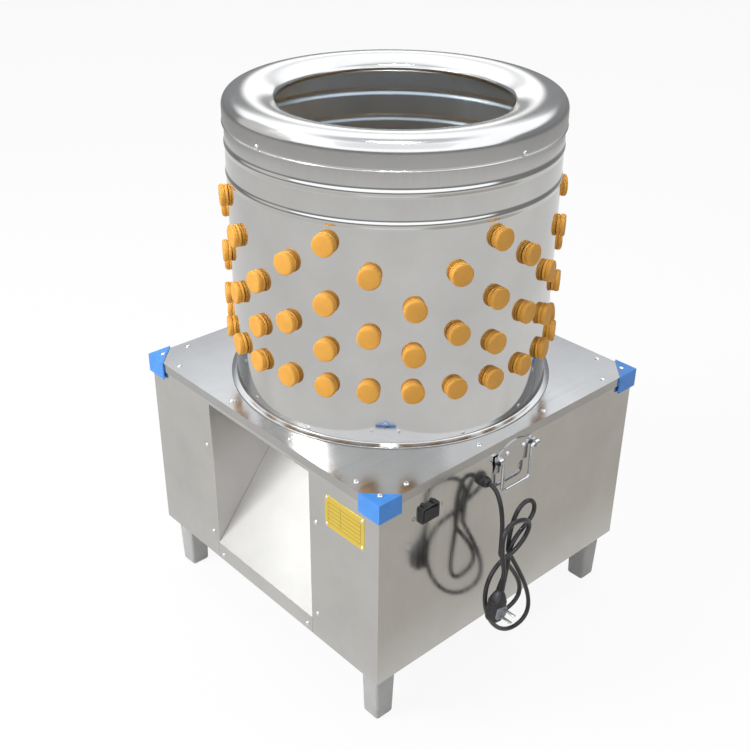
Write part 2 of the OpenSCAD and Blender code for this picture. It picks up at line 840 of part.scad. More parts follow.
// Tapered leg with rounded upright edges, in the corner that the signs pick
module leg(side_x, side_y) {
  place = half - leg_inset;
  top_in = leg_top_w / 2 - leg_edge_r;
  foot_in = leg_foot_w / 2 - leg_edge_r;
  color("darkgray")
    translate([side_x * place, side_y * place, 0])
      difference() {
        hull() {
          corners(foot_in) cylinder(r = leg_edge_r, h = over, $fn = 32);
          translate([0, 0, leg_h - over]) corners(top_in) cylinder(r = leg_edge_r, h = over, $fn = 32);
        }
        translate([0, 0, leg_h]) shank_hole(leg_bolt_d, leg_h / 3);
      }
}

module leg_bolts() {
  color("gray")
    translate([0, 0, floor_z + angle_t])
      corners(half - leg_inset) hex_bolt(leg_bolt_d, angle_t + leg_h / 4);
}

// Moulded corner guard: a three-cornered top and two sides
module corner_guard(side_x, side_y) {
  top_screw = edge_line;
  color("dodgerblue")
    mirror([side_x < 0 ? 1 : 0, 0, 0])
      mirror([0, side_y < 0 ? 1 : 0, 0])
        difference() {
          union() {
            translate([half + guard_t, half + guard_t, plate_z])
              linear_extrude(guard_t)
                polygon([[0, 0], [-guard_l - guard_t, 0], [0, -guard_l - guard_t]]);
            translate([half, half - guard_l, plate_z - guard_h])
              cube([guard_t, guard_l + guard_t, guard_h]);
            translate([half - guard_l, half, plate_z - guard_h])
              cube([guard_l + guard_t, guard_t, guard_h]);
          }
          translate([top_screw, top_screw, plate_z + guard_t]) shank_hole(screw_d, guard_t + over);
        }
}

module casing_screws() {
  color("whitesmoke") {
    translate([0, 0, plate_z]) edge_places() dome_screw(screw_d, screw_head_d, plate_t + angle_t);
    translate([0, 0, plate_z + guard_t])
      corners(edge_line) dome_screw(screw_d, screw_head_d, guard_t + plate_t + angle_t);
    front_places() dome_screw(screw_d, screw_head_d, 2 * sheet_t);
    strip_places() dome_screw(screw_d, screw_head_d, sheet_t + angle_t);
  }
}

// Places its child on a nameplate rivet, looking out along -Y
module label_places() {
  for (x = [-1, 1])
    for (z = [-1, 1])
      translate([label_x + x * label_rivet[0], -panel_out - label_t, label_z + z * label_rivet[1]])
        rotate([90, 0, 0]) children();
}

// Places its child on the rivets of a handle, looking out of that side
module handle_rivet_places(side) {
  for (y = [-1, 1])
    translate([side * (half + handle_plate_t), handle_y + y * handle_rivet_y, handle_rivet_z])
      rotate([0, side * 90, 0]) children();
}

module rivets() {
  color("whitesmoke") {
    translate([0, 0, plate_z + rim_rivet_z])
      for (a = rim_rivet_angles)
        rotate([0, 90, a])
          translate([0, 0, skirt_r]) dome_screw(screw_d, screw_head_d, 2 * barrel_t + rim_gap);
    label_places() dome_screw(label_rivet_d, 2 * label_rivet_d, sheet_t + label_t);
    for (side = [-1, 1])
      handle_rivet_places(side)
        dome_screw(screw_d, screw_head_d, handle_plate_t + plate_t + sheet_t);
  }
}

module nameplate() {
  color("gold")
    difference() {
      translate([label_x, -panel_out, label_z])
        rotate([90, 0, 0])
          linear_extrude(label_t) rounded(label_w, label_h, 3);
      label_places() shank_hole(label_rivet_d, label_t + over);
    }
}

// Bridge folded up at both ends against the frame
module bearing_bridge() {
  end_h = under_z - angle_t - over - bridge_low;
  color("slategray")
    difference() {
      union() {
        translate([-flange_in, bridge_y - bridge_w / 2, bridge_low])
          cube([2 * flange_in, bridge_w, bridge_t]);
        for (x = [-flange_in, flange_in - bridge_t])
          translate([x, bridge_y - bridge_w / 2, bridge_low]) cube([bridge_t, bridge_w, end_h]);
      }
      translate([0, 0, bridge_low - over]) cylinder(r = shaft_r + 6, h = bridge_t + 2 * over);
      translate([0, 0, bridge_top]) corners(housing_bolt) shank_hole(bolt_d, bridge_t + over);
      for (side = [-1, 1])
        for (y = bridge_bolt_y)
          translate([side * (flange_in - bridge_t), y, bridge_bolt_z])
            rotate([0, -side * 90, 0]) shank_hole(bolt_d, bridge_t + over);
    }
}

module bearing_housing() {
  seat_r = bearing_od / 2;
  color("darkslategray")
    difference() {
      union() {
        translate([0, 0, housing_low]) cylinder(d = housing_d, h = housing_l);
        translate([0, 0, bridge_low - housing_flange_t])
          linear_extrude(housing_flange_t) rounded(housing_flange, housing_flange, 8);
      }
      translate([0, 0, housing_low - over]) cylinder(r = seat_r - 5, h = housing_l + 2 * over);
      translate([0, 0, bridge_low - bearing_w]) cylinder(r = seat_r, h = bearing_w + over);
      translate([0, 0, housing_low - over]) cylinder(r = seat_r, h = bearing_w + over);
      translate([0, 0, bridge_low]) corners(housing_bolt) shank_hole(bolt_d, housing_flange_t + over);
    }
}

// Groove that the balls run in
module ball_track() {
  rotate_extrude() translate([race_r, 0]) circle(d = ball_d + 2 * gap);
}

module bearing_ring(inner, outer) {
  difference() {
    cylinder(r = outer, h = bearing_w, center = true);
    cylinder(r = inner, h = bearing_w + 2 * over, center = true);
    ball_track();
  }
}

module bearing_outer_rings() {
  color("lightsteelblue")
    for (z = bearing_levels)
      translate([0, 0, z]) bearing_ring(race_r + race_gap, bearing_od / 2 - run);
}

module bearing_inner_rings() {
  color("lightsteelblue")
    for (z = bearing_levels)
      translate([0, 0, z]) bearing_ring(shaft_r + run, race_r - race_gap);
}

module bearing_balls() {
  color("white")
    for (z = bearing_levels)
      for (i = [0 : ball_count - 1])
        translate([0, 0, z]) rotate(i * 360 / ball_count) translate([race_r, 0, 0]) sphere(d = ball_d);
}

module shaft_seal() {
  color("black")
    difference() {
      union() {
        translate([0, 0, under_z]) cylinder(r = seal_r - fit, h = plate_t);
        translate([0, 0, plate_z]) cylinder(r = seal_flange_r, h = seal_flange_t);
      }
      translate([0, 0, under_z - over])
        cylinder(r = shaft_r + gap, h = plate_t + seal_flange_t + 2 * over);
    }
}

module drive_bolts() {
  color("gray") {
    translate([0, 0, bridge_top]) corners(housing_bolt) hex_bolt(bolt_d, bridge_t + housing_flange_t);
    for (side = [-1, 1])
      for (y = bridge_bolt_y)
        translate([side * (flange_in - bridge_t), y, bridge_bolt_z])
          rotate([0, -side * 90, 0]) hex_bolt(bolt_d, bridge_t + angle_t - fit);
    for (x = [-1, 1])
      for (z = motor_bolt_z)
        translate([x * motor_bolt_x, mount_y - foot_depth, z])
          rotate([90, 0, 0]) hex_bolt(bolt_d, foot_depth + mount_t);
  }
}

module drive_shaft() {
  color("silver") translate([0, 0, shaft_low]) cylinder(r = shaft_r, h = shaft_top - shaft_low);
}

// Places its child at every finger hole of the disc
module disc_places() {
  for (ring_row = disc_rings)
    for (i = [0 : ring_row[1] - 1])
      rotate(ring_row[2] + i * 360 / ring_row[1]) translate([ring_row[0], 0, disc_low]) children();
}

module plucking_disc() {
  color("silver")
    difference() {
      translate([0, 0, disc_low]) cylinder(r = disc_r, h = disc_t, $fn = 128);
      translate([0, 0, disc_low - over]) cylinder(r = shaft_r + run, h = disc_t + 2 * over);
      disc_places() translate([0, 0, -over]) cylinder(d = finger_hole_d, h = disc_t + 2 * over);
    }
}

module disc_hub() {
  color("darkgray")
    difference() {
      union() {
        translate([0, 0, boss_low]) cylinder(r = boss_r, h = disc_low - boss_low);
        translate([0, 0, disc_low - hub_t]) cylinder(r = hub_r, h = hub_t);
      }
      translate([0, 0, boss_low - over])
        cylinder(r = shaft_r + run, h = disc_low - boss_low + 2 * over);
    }
}

module hub_cap() {
  color("silver")
    translate([0, 0, disc_top])
      difference() {
        rotate_extrude()
          polygon([[0, 0], [cap_r, 0], [cap_r, 0.2 * cap_h], [0.8 * cap_r, 0.375 * cap_h],
            [0.7 * cap_r, 0.75 * cap_h], [0.5 * cap_r, cap_h], [0, cap_h]]);
        translate([0, 0, -over]) cylinder(r = shaft_r + run, h = shaft_top - disc_top + over + gap);
      }
}

module disc_fingers() {
  color("sandybrown") disc_places() finger(disc_t);
}

module sweeper_blades() {
  color("dimgray")
    for (turn = [0, 180])
      rotate(turn)
        translate([blade_inner, -blade_t / 2, blade_low])
          cube([blade_outer - blade_inner, blade_t, disc_low - blade_low]);
}

// Grooved pulley around the Z axis
module pulley(d, bore_r, hub, web) {
  r = d / 2;
  h = pulley_w / 2;
  hub_h = h + pulley_hub_side;
  floor_r = r - groove_depth;
  floor_h = belt_w / 2 + gap;
  flare_h = belt_w / 2 + groove_flare;
  inner_r = min(hub, floor_r - pulley_hub_wall);
  rim_r = max(inner_r + pulley_step, floor_r - pulley_wall);
  rotate_extrude($fn = 96)
    polygon([[bore_r, -hub_h], [inner_r, -hub_h], [inner_r, -web], [rim_r, -web], [rim_r, -h], [r, -h],
      [r, -flare_h], [floor_r, -floor_h], [floor_r, floor_h], [r, flare_h], [r, h], [rim_r, h],
      [rim_r, web], [inner_r, web], [inner_r, hub_h], [bore_r, hub_h]]);
}

module driven_pulley() {
  color("darkslategray")
    translate([0, 0, drive_z]) pulley(driven_d, shaft_r + run, driven_hub_r, driven_web);
}

module motor_pulley() {
  color("darkslategray")
    translate([0, motor_y, drive_z])
      pulley(driver_d, motor_shaft_r + run, driver_hub_r, driver_web);
}

// Outline of the belt at a distance out from its inner face: an arc round each pulley
function belt_line(out) = concat(
  arc([0, 0], belt_driven_r + out, 180 - belt_a, 360 + belt_a, 48),
  arc([0, motor_y], belt_driver_r + out, belt_a, 180 - belt_a, 24));

module drive_belt() {
  color("black")
    translate([0, 0, drive_z - belt_w / 2])
      linear_extrude(belt_w)
        difference() {
          polygon(belt_line(belt_t));
          polygon(belt_line(0));
        }
}

module motor_rotor() {
  color("lightslategray")
    translate([0, motor_y, 0]) {
      translate([0, 0, shaft_low]) cylinder(r = motor_shaft_r, h = motor_top + shaft_rise - shaft_low);
      translate([0, 0, motor_low + rotor_low_gap])
        cylinder(r = rotor_r, h = motor_l - rotor_low_gap - rotor_high_gap);
    }
}

module motor_fan() {
  fan_hub_r = motor_shaft_r + fan_hub_t;
  vane_low = fan_hub_r - vane_lap;
  color("darkorange")
    translate([0, motor_y, motor_top + fan_gap])
      difference() {
        union() {
          cylinder(r = fan_r, h = fan_t);
          cylinder(r = fan_hub_r, h = fan_hub_h);
          for (a = [0 : vane_a : 360 - vane_a])
            rotate(a)
              translate([vane_low, -vane_t / 2, 0]) cube([fan_r - vane_in - vane_low, vane_t, vane_h]);
        }
        translate([0, 0, -over]) cylinder(r = motor_shaft_r + run, h = fan_hub_h + 2 * over);
      }
}

// Housing with its wound stator, closed at the top and flanged to the mounting plate
module motor_housing() {
  color("steelblue")
    difference() {
      union() {
        translate([0, motor_y, motor_low]) cylinder(r = motor_r, h = motor_l);
        translate([-foot_half, mount_y - foot_depth, motor_low + foot_end])
          cube([2 * foot_half, foot_depth, motor_l - 2 * foot_end]);
      }
      translate([0, motor_y, motor_low - over]) cylinder(r = rotor_r + gap, h = motor_l - bell_t + over);
      translate([0, motor_y, motor_low]) cylinder(r = motor_shaft_r + run, h = motor_l + over);
      for (x = [-1, 1])
        for (z = motor_bolt_z)
          translate([x * motor_bolt_x, mount_y - foot_depth, z])
            rotate([90, 0, 0]) shank_hole(bolt_d, foot_depth + over);
    }
}

module motor_end_bell() {
  color("lightsteelblue")
    translate([0, motor_y, motor_low - bell_t])
      difference() {
        cylinder(r = motor_r, h = bell_t);
        translate([0, 0, -over]) cylinder(r = motor_shaft_r + run, h = bell_t + 2 * over);
      }
}

module motor_fan_cover() {
  color("steelblue")
    translate([0, motor_y, motor_top])
      difference() {
        cylinder(r = motor_r - fan_cover_step, h = fan_cover_h);
        translate([0, 0, -over])
          cylinder(r = motor_r - fan_cover_step - fan_cover_t, h = fan_cover_h - fan_cover_t + over);
        for (a = [0 : vane_a : 360 - vane_a])
          rotate(a)
            translate([motor_r / 2, 0, fan_cover_h - fan_cover_t - over])
              cylinder(r = vent_r, h = fan_cover_t + 2 * over);
      }
}

module motor_terminal_box() {
  color("dimgray")
    difference() {
      translate([box_x, motor_y - box_d / 2, box_low]) cube([box_w, box_d, box_l]);
      translate([0, motor_y, motor_low]) cylinder(r = motor_r + fit, h = motor_l);
    }
}

module motor_mount_plate() {
  color("slategray")
    difference() {
      translate([-mount_w / 2, mount_y, floor_z + angle_t + over])
        cube([mount_w, mount_t, panel_h - 2 * angle_t - 2 * over]);
      for (x = [-1, 1])
        for (z = motor_bolt_z)
          translate([x * motor_bolt_x, mount_y, z]) rotate([90, 0, 0]) shank_hole(bolt_d, mount_t + over);
    }
}

// Bezel on the panel, with its body behind, two catches on top and a well for the rocker
module switch_bezel() {
  color("black")
    translate([panel_out, -switch_y, switch_z])
      rotate([90, 0, 90])
        difference() {
          union() {
            linear_extrude(switch_out) rounded(switch_w, switch_h, bezel_round);
            translate([0, 0, -body_depth])
              linear_extrude(body_depth) square([cutout_w, cutout_h], center = true);
            for (x = [-1, 1])
              translate([x * switch_w / 4, switch_h / 2, 0])
                cylinder(d = catch_d, h = switch_out - catch_step);
          }
          translate([0, 0, switch_out - well_depth])
            linear_extrude(well_depth + over)
              square([rocker_w + 2 * gap, rocker_h + 2 * gap], center = true);
          translate([0, 0, switch_out - pivot_in])
            rotate([90, 0, 0])
              cylinder(d = rocker_pin_d + 2 * run, h = rocker_pin_l + 2 * pin_room, center = true);
        }
}

// Rocker at rest with its -Y side pressed in
module switch_rocker() {
  w = rocker_w / 2 - rocker_side;
  back = rocker_back;
  color("dimgray")
    translate([rocker_x, -switch_y, switch_z])
      rotate(-rocker_a) {
        linear_extrude(rocker_h, center = true)
          polygon([[0, -w], [rocker_horn, -w], [rocker_dip, 0], [rocker_horn, w], [0, w],
            [-back[0], back[1]], [-back[0], -back[1]]]);
        cylinder(d = rocker_pin_d, h = rocker_pin_l, center = true);
      }
}

// Plate and lugs of the handle on the +X side
module handle_plate() {
  low = handle_top - handle_h;
  arch_r = arch_share * handle_w;
  difference() {
    union() {
      translate([half, handle_y, 0])
        rotate([90, 0, 90])
          linear_extrude(handle_plate_t)
            intersection() {
              translate([-handle_w / 2, low]) square([handle_w, handle_h]);
              translate([0, handle_top - arch_r]) circle(arch_r, $fn = 96);
            }
      translate([panel_out, handle_y - handle_w / 2 + pad_side, low + pad_low])
        cube([plate_t, handle_w - 2 * pad_side, plate_z - lip_h - gap - low - pad_low]);
      for (y = [-lug_out, lug_in])
        translate([0, handle_y + y, 0]) {
          translate([half, 0, pivot_z - lug_d / 2])
            cube([pivot_x - half, lug_out - lug_in, lug_d]);
          translate([pivot_x, 0, pivot_z])
            rotate([-90, 0, 0]) cylinder(d = lug_d, h = lug_out - lug_in);
        }
    }
    translate([pivot_x, handle_y - lug_out - over, pivot_z])
      rotate([-90, 0, 0]) cylinder(r = bail_r + run, h = 2 * lug_out + 2 * over);
    handle_rivet_places(1) shank_hole(screw_d, handle_plate_t + plate_t + over);
  }
}

module handle_plates() {
  color("gainsboro") {
    handle_plate();
    mirror([1, 0, 0]) handle_plate();
  }
}

// Half of a bail: pin, bend, leg, bend and half of the grip
module bail_half() {
  leg_y = bail_w / 2;
  leg_l = bail_drop - bend_top - bend_low;
  translate([0, leg_y + bend_top, 0])
    rotate([-90, 0, 0]) cylinder(r = bail_r, h = lug_out - leg_y - bend_top);
  translate([0, leg_y + bend_top, -bend_top])
    rotate([0, -90, 0]) rotate(90) rotate([0, 0, -90])
      rotate_extrude(angle = -90) translate([bend_top, 0]) circle(bail_r);
  translate([0, leg_y, -bend_top - leg_l]) cylinder(r = bail_r, h = leg_l);
  translate([0, leg_y - bend_low, -bail_drop + bend_low])
    rotate([0, -90, 0]) rotate(90) rotate_extrude(angle = 90) translate([bend_low, 0]) circle(bail_r);
  translate([0, 0, -bail_drop]) rotate([-90, 0, 0]) cylinder(r = bail_r, h = leg_y - bend_low);
}

module bail(side) {
  color("white")
    translate([side * pivot_x, handle_y, pivot_z]) {
      bail_half();
      mirror([0, 1, 0]) bail_half();
    }
}

// Gland through the side panel with a domed nut; the lead leaves through its nose
module cable_gland() {
  hex_h = gland_hex_share * gland_out;
  color("black")
    translate([panel_out, gland_y, gland_z])
      rotate([0, 90, 0]) {
        cylinder(d = gland_d, h = hex_h, $fn = 6);
        translate([0, 0, hex_h])
          cylinder(r1 = gland_d / 2 - gland_step, r2 = cord_r + nose_wall, h = gland_out - hex_h);
        translate([0, 0, -gland_in]) cylinder(d = gland_d - gland_neck, h = gland_in);
      }
}

module mains_cord() {
  color("black") tube(lead_points(), cord_r, 10);
}

module cord_hank() {
  echo(least_gap_of_hank = least_gap(hank_points(3 * lobe_rings), lobe_rings / 2, cord_d));
  color("black") tube(hank_points(lobe_rings), cord_r, 6);
}

// Frame of the plug: its axis runs down and away from the hank's end
module plug_frame() {
  translate(tail_point(len(tail_headings))) rotate([-plug_tilt, 0, 0]) children();
}

module plug_body() {
  color("black")
    plug_frame() {
      translate([0, 0, -relief_l])
        cylinder(r1 = cord_r + relief_wall, r2 = cord_r + relief_lip, h = relief_l);
      translate([0, 0, -relief_l - grip_l]) linear_extrude(grip_l) rounded(grip_d, grip_w, grip_round);
    }
}

module plug_pins() {
  pin_z = -relief_l - pin_share * grip_l;
  color("silver")
    plug_frame()
      for (y = [-1, 1])
        translate([grip_d / 2, y * pin_apart[0] - pin_w / 2, pin_z + y * pin_apart[1]])
          cube([pin_l, pin_w, pin_t]);
}

base_frame();
top_plate();
front_panel();
right_panel();
rear_panel();
left_panel();
chute_slope();
chute_walls();
barrel();
rim_cap();
barrel_fingers(lower_rows);  // barrel_fingers_lower
barrel_fingers(middle_rows);  // barrel_fingers_middle
barrel_fingers(upper_rows);  // barrel_fingers_upper
leg(-1, -1);  // leg_front_left
leg(1, -1);  // leg_front_right
leg(-1, 1);  // leg_rear_left
leg(1, 1);  // leg_rear_right
leg_bolts();
corner_guard(-1, -1);  // corner_guard_front_left
corner_guard(1, -1);  // corner_guard_front_right
corner_guard(-1, 1);  // corner_guard_rear_left
corner_guard(1, 1);  // corner_guard_rear_right
casing_screws();
rivets();
nameplate();
bearing_bridge();
bearing_housing();
bearing_outer_rings();
bearing_balls();
shaft_seal();
drive_bolts();
drive_shaft();
bearing_inner_rings();
plucking_disc();
disc_hub();
hub_cap();
disc_fingers();
sweeper_blades();
driven_pulley();
drive_belt();
motor_pulley();
motor_rotor();
motor_fan();
motor_housing();
motor_end_bell();
motor_fan_cover();
motor_terminal_box();
motor_mount_plate();
switch_bezel();
switch_rocker();
handle_plates();
bail(1);  // bail_right
bail(-1);  // bail_left
cable_gland();
mains_cord();
cord_hank();
plug_body();
plug_pins();
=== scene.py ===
import math
import random

import bmesh
import bpy
from mathutils import Matrix, Vector


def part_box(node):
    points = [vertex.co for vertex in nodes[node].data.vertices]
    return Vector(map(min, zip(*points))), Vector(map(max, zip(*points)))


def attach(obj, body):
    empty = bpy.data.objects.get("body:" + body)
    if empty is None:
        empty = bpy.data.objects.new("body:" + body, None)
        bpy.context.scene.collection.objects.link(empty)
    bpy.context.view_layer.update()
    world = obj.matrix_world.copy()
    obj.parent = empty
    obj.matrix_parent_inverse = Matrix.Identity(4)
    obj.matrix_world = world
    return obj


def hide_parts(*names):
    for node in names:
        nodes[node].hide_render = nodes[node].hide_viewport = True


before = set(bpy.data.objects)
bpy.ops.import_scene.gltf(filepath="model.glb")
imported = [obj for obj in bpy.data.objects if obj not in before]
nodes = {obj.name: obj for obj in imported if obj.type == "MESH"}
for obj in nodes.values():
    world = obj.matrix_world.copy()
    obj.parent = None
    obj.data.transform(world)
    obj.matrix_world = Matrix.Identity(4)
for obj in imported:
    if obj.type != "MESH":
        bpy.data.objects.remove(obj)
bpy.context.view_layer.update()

# All sizes below are millimetres, like the drawing's, and MM turns them into metres
MM = 0.001
ROOT = "cabinet_and_barrel"
SHARP = 40
EDGE_SEGMENTS = 2
CORNER_STEPS = 6

# Levels and faces read from the frame
plate_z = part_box("top_plate")[1].z / MM
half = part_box("top_plate")[1].x / MM
panel_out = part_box("right_panel")[1].x / MM
leg_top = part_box("leg_front_left")[1].z / MM
disc_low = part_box("plucking_disc")[0].z / MM


# Mesh helpers

def mesh_object(name, verts, faces, sharp=SHARP):
    """Mesh object from millimetre points, smooth except at edges sharper than an angle."""
    mesh = bpy.data.meshes.new(name)
    mesh.from_pydata([Vector(v) * MM for v in verts], [], faces)
    mesh.update()
    bm = bmesh.new()
    bm.from_mesh(mesh)
    bmesh.ops.recalc_face_normals(bm, faces=bm.faces)
    bm.to_mesh(mesh)
    bm.free()
    mesh.shade_smooth()
    mesh.set_sharp_from_angle(angle=math.radians(sharp))
    obj = bpy.data.objects.new(name, mesh)
    bpy.context.scene.collection.objects.link(obj)
    return obj


def revolved(profile, segments, closed=False):
    """Points and faces of a profile of (radius, height) turned about Z; a radius of 0 is a pole."""
    verts = []
    rings = []
    for r, z in profile:
        if r < 1e-6:
            rings.append([len(verts)] * segments)
            verts.append((0, 0, z))
            continue
        rings.append(list(range(len(verts), len(verts) + segments)))
        for k in range(segments):
            a = 2 * math.pi * k / segments
            verts.append((r * math.cos(a), r * math.sin(a), z))
    pairs = list(zip(rings, rings[1:]))
    if closed:
        pairs.append((rings[-1], rings[0]))
    faces = []
    for low, high in pairs:
        for k in range(segments):
            n = (k + 1) % segments
            corners = [low[k], low[n], high[n], high[k]]
            face = [c for i, c in enumerate(corners) if c not in corners[:i]]
            if len(face) > 2:
                faces.append(face)
    return verts, faces


def placed(parts):
    """One list of points and faces from several (points, faces, matrix)."""
    verts = []
    faces = []
    for part_verts, part_faces, matrix in parts:
        start = len(verts)
        verts.extend(matrix @ Vector(v) for v in part_verts)
        faces.extend([i + start for i in face] for face in part_faces)
    return verts, faces


def swept(path, radius, sides):
    """Points and faces of a round tube along a path, closed at both ends."""
    verts = []
    normal = None
    for i, p in enumerate(path):
        ahead = (path[min(i + 1, len(path) - 1)] - path[max(i - 1, 0)]).normalized()
        if normal is None:
            normal = ahead.orthogonal().normalized()
        normal = (normal - ahead * normal.dot(ahead)).normalized()
        across = ahead.cross(normal)
        for k in range(sides):
            a = 2 * math.pi * k / sides
            verts.append(p + radius * (math.cos(a) * normal + math.sin(a) * across))
    faces = []
    for i in range(len(path) - 1):
        for k in range(sides):
            n = (k + 1) % sides
            faces.append([i * sides + k, i * sides + n, (i + 1) * sides + n, (i + 1) * sides + k])
    faces.append(list(range(sides)))
    faces.append(list(range(len(verts) - sides, len(verts))))
    return verts, faces


def rounded_loop(w, d, r):
    """Outline of a rectangle with round corners."""
    points = []
    for quarter, (sx, sy) in enumerate(((1, 1), (-1, 1), (-1, -1), (1, -1))):
        for i in range(CORNER_STEPS + 1):
            a = math.radians(90 * (quarter + i / CORNER_STEPS))
            points.append((sx * (w / 2 - r) + r * math.cos(a), sy * (d / 2 - r) + r * math.sin(a)))
    return points


def lofted(sections):
    """Points and faces through (height, outline) sections, closed at both ends."""
    count = len(sections[0][1])
    verts = [(x, y, z) for z, outline in sections for x, y in outline]
    faces = []
    for i in range(len(sections) - 1):
        for k in range(count):
            n = (k + 1) % count
            faces.append([i * count + k, i * count + n, (i + 1) * count + n, (i + 1) * count + k])
    faces.append(list(range(count)))
    faces.append(list(range(len(verts) - count, len(verts))))
    return verts, faces


def box_part(w, d, h, edge=0.0):
    """Points and faces of a box around its middle with rounded edges."""
    bm = bmesh.new()
    bmesh.ops.create_cube(bm, size=1, matrix=Matrix.Diagonal((w, d, h, 1)))
    if edge > 0:
        bmesh.ops.bevel(bm, geom=bm.edges[:], offset=edge, segments=EDGE_SEGMENTS, profile=0.5,
                        affect="EDGES")
    bm.verts.index_update()
    verts = [v.co.copy() for v in bm.verts]
    faces = [[v.index for v in f.verts] for f in bm.faces]
    bm.free()
    return verts, faces


def rectangle(w, h):
    """Points and face of a flat rectangle around its middle, sizes in metres."""
    corners = ((-1, -1), (1, -1), (1, 1), (-1, 1))
    return [(x * w / 2 / MM, y * h / 2 / MM, 0) for x, y in corners], [[0, 1, 2, 3]]


def arc(centre, r, start, end, steps):
    """Points along a circle's arc, angles in degrees."""
    angles = [math.radians(start + (end - start) * i / steps) for i in range(steps + 1)]
    return [(centre[0] + r * math.cos(a), centre[1] + r * math.sin(a)) for a in angles]


def moved(x, y, z):
    return Matrix.Translation((x, y, z))


def turned(degrees, axis):
    return Matrix.Rotation(math.radians(degrees), 4, axis)


def dress(obj, material, body, slot, *replaced):
    """Gives a piece its material and body and hides the nodes that it stands for; the slot is not used."""
    obj.data.materials.clear()
    obj.data.materials.append(material)
    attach(obj, body)
    if replaced:
        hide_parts(*replaced)
    return obj


# Material helpers

# Range in which most of a noise texture's values lie
NOISE_LOW = 0.3
NOISE_HIGH = 0.7


def shader(name, colour, roughness, metallic=0.0):
    """A node material and its principled shader."""
    material = bpy.data.materials.new(name)
    material.use_nodes = True
    bsdf = material.node_tree.nodes["Principled BSDF"]
    bsdf.inputs["Base Color"].default_value = (*colour, 1)
    bsdf.inputs["Roughness"].default_value = roughness
    bsdf.inputs["Metallic"].default_value = metallic
    return material, bsdf


def noise(material, scale, stretch=(1, 1, 1), detail=4.0):
    """Noise over the object's own coordinates, in waves per metre."""
    tree = material.node_tree
    place = tree.nodes.new("ShaderNodeTexCoord")
    mapping = tree.nodes.new("ShaderNodeMapping")
    mapping.inputs["Scale"].default_value = stretch
    texture = tree.nodes.new("ShaderNodeTexNoise")
    texture.inputs["Scale"].default_value = scale
    texture.inputs["Detail"].default_value = detail
    texture.inputs["Roughness"].default_value = 0.55
    tree.links.new(place.outputs["Object"], mapping.inputs["Vector"])
    tree.links.new(mapping.outputs["Vector"], texture.inputs["Vector"])
    return texture.outputs["Fac"]


def spread(material, value, low, high):
    """A noise value mapped to a range."""
    node = material.node_tree.nodes.new("ShaderNodeMapRange")
    node.inputs["From Min"].default_value = NOISE_LOW
    node.inputs["From Max"].default_value = NOISE_HIGH
    node.inputs["To Min"].default_value = low
    node.inputs["To Max"].default_value = high
    material.node_tree.links.new(value, node.inputs["Value"])
    return node.outputs["Result"]


def tint(material, bsdf, value, dark, light):
    """Base colour that wanders between two colours with a noise value."""
    ramp = material.node_tree.nodes.new("ShaderNodeValToRGB")
    ramp.color_ramp.elements[0].position = NOISE_LOW
    ramp.color_ramp.elements[0].color = (*dark, 1)
    ramp.color_ramp.elements[1].position = NOISE_HIGH
    ramp.color_ramp.elements[1].color = (*light, 1)
    material.node_tree.links.new(value, ramp.inputs["Fac"])
    material.node_tree.links.new(ramp.outputs["Color"], bsdf.inputs["Base Color"])


def bump(material, bsdf, heights):
    """Stacks bump layers, each (noise value, depth in millimetres, strength)."""
    last = None
    for value, depth, strength in heights:
        node = material.node_tree.nodes.new("ShaderNodeBump")
        node.inputs["Distance"].default_value = depth * MM
        node.inputs["Strength"].default_value = strength
        material.node_tree.links.new(value, node.inputs["Height"])
        if last is not None:
            material.node_tree.links.new(last, node.inputs["Normal"])
        last = node.outputs["Normal"]
    material.node_tree.links.new(last, bsdf.inputs["Normal"])


def shade(colour, factor):
    return tuple(min(1.0, c * factor) for c in colour)


def steel(name, colour, roughness, haze=0.04, grain=(1, 1, 1), grain_depth=0.004, sheet_wave=0.0):
    """Stainless sheet: hazy gloss, fine grain along one direction, and the slow waves of thin sheet."""
    material, bsdf = shader(name, colour, roughness, 1.0)
    smear = noise(material, 9, detail=5)
    tint(material, bsdf, smear, shade(colour, 0.93), shade(colour, 1.05))
    hair = noise(material, 260, grain, detail=2)
    rough = spread(material, hair, roughness - haze, roughness + haze)
    material.node_tree.links.new(rough, bsdf.inputs["Roughness"])
    layers = [(hair, grain_depth, 0.5)]
    if sheet_wave:
        layers.insert(0, (noise(material, 5.5, detail=1), sheet_wave, 0.6))
    bump(material, bsdf, layers)
    return material


def plastic(name, colour, roughness, speckle=0.06, depth=0.02, scale=900, specular=0.5):
    """Moulded plastic or rubber: slight mottling and a fine moulded skin."""
    material, bsdf = shader(name, colour, roughness)
    bsdf.inputs["Specular IOR Level"].default_value = specular
    mottle = noise(material, 45, detail=6)
    tint(material, bsdf, mottle, shade(colour, 1 - speckle), shade(colour, 1 + speckle))
    skin = noise(material, scale, detail=3)
    rough = spread(material, skin, roughness - 0.06, roughness + 0.08)
    material.node_tree.links.new(rough, bsdf.inputs["Roughness"])
    bump(material, bsdf, [(skin, depth, 0.35)])
    return material


def paint(name, colour, roughness):
    """Sprayed paint with a faint orange-peel surface."""
    material, bsdf = shader(name, colour, roughness)
    bsdf.inputs["Coat Weight"].default_value = 0.2
    tint(material, bsdf, noise(material, 20), shade(colour, 0.9), shade(colour, 1.08))
    bump(material, bsdf, [(noise(material, 420, detail=2), 0.05, 0.4)])
    return material


def cast(name, colour, roughness, metallic=0.8):
    """Sand-cast metal with a grainy skin."""
    material, bsdf = shader(name, colour, roughness, metallic)
    tint(material, bsdf, noise(material, 60, detail=8), shade(colour, 0.75), shade(colour, 1.25))
    bump(material, bsdf, [(noise(material, 700, detail=5), 0.12, 0.6)])
    return material


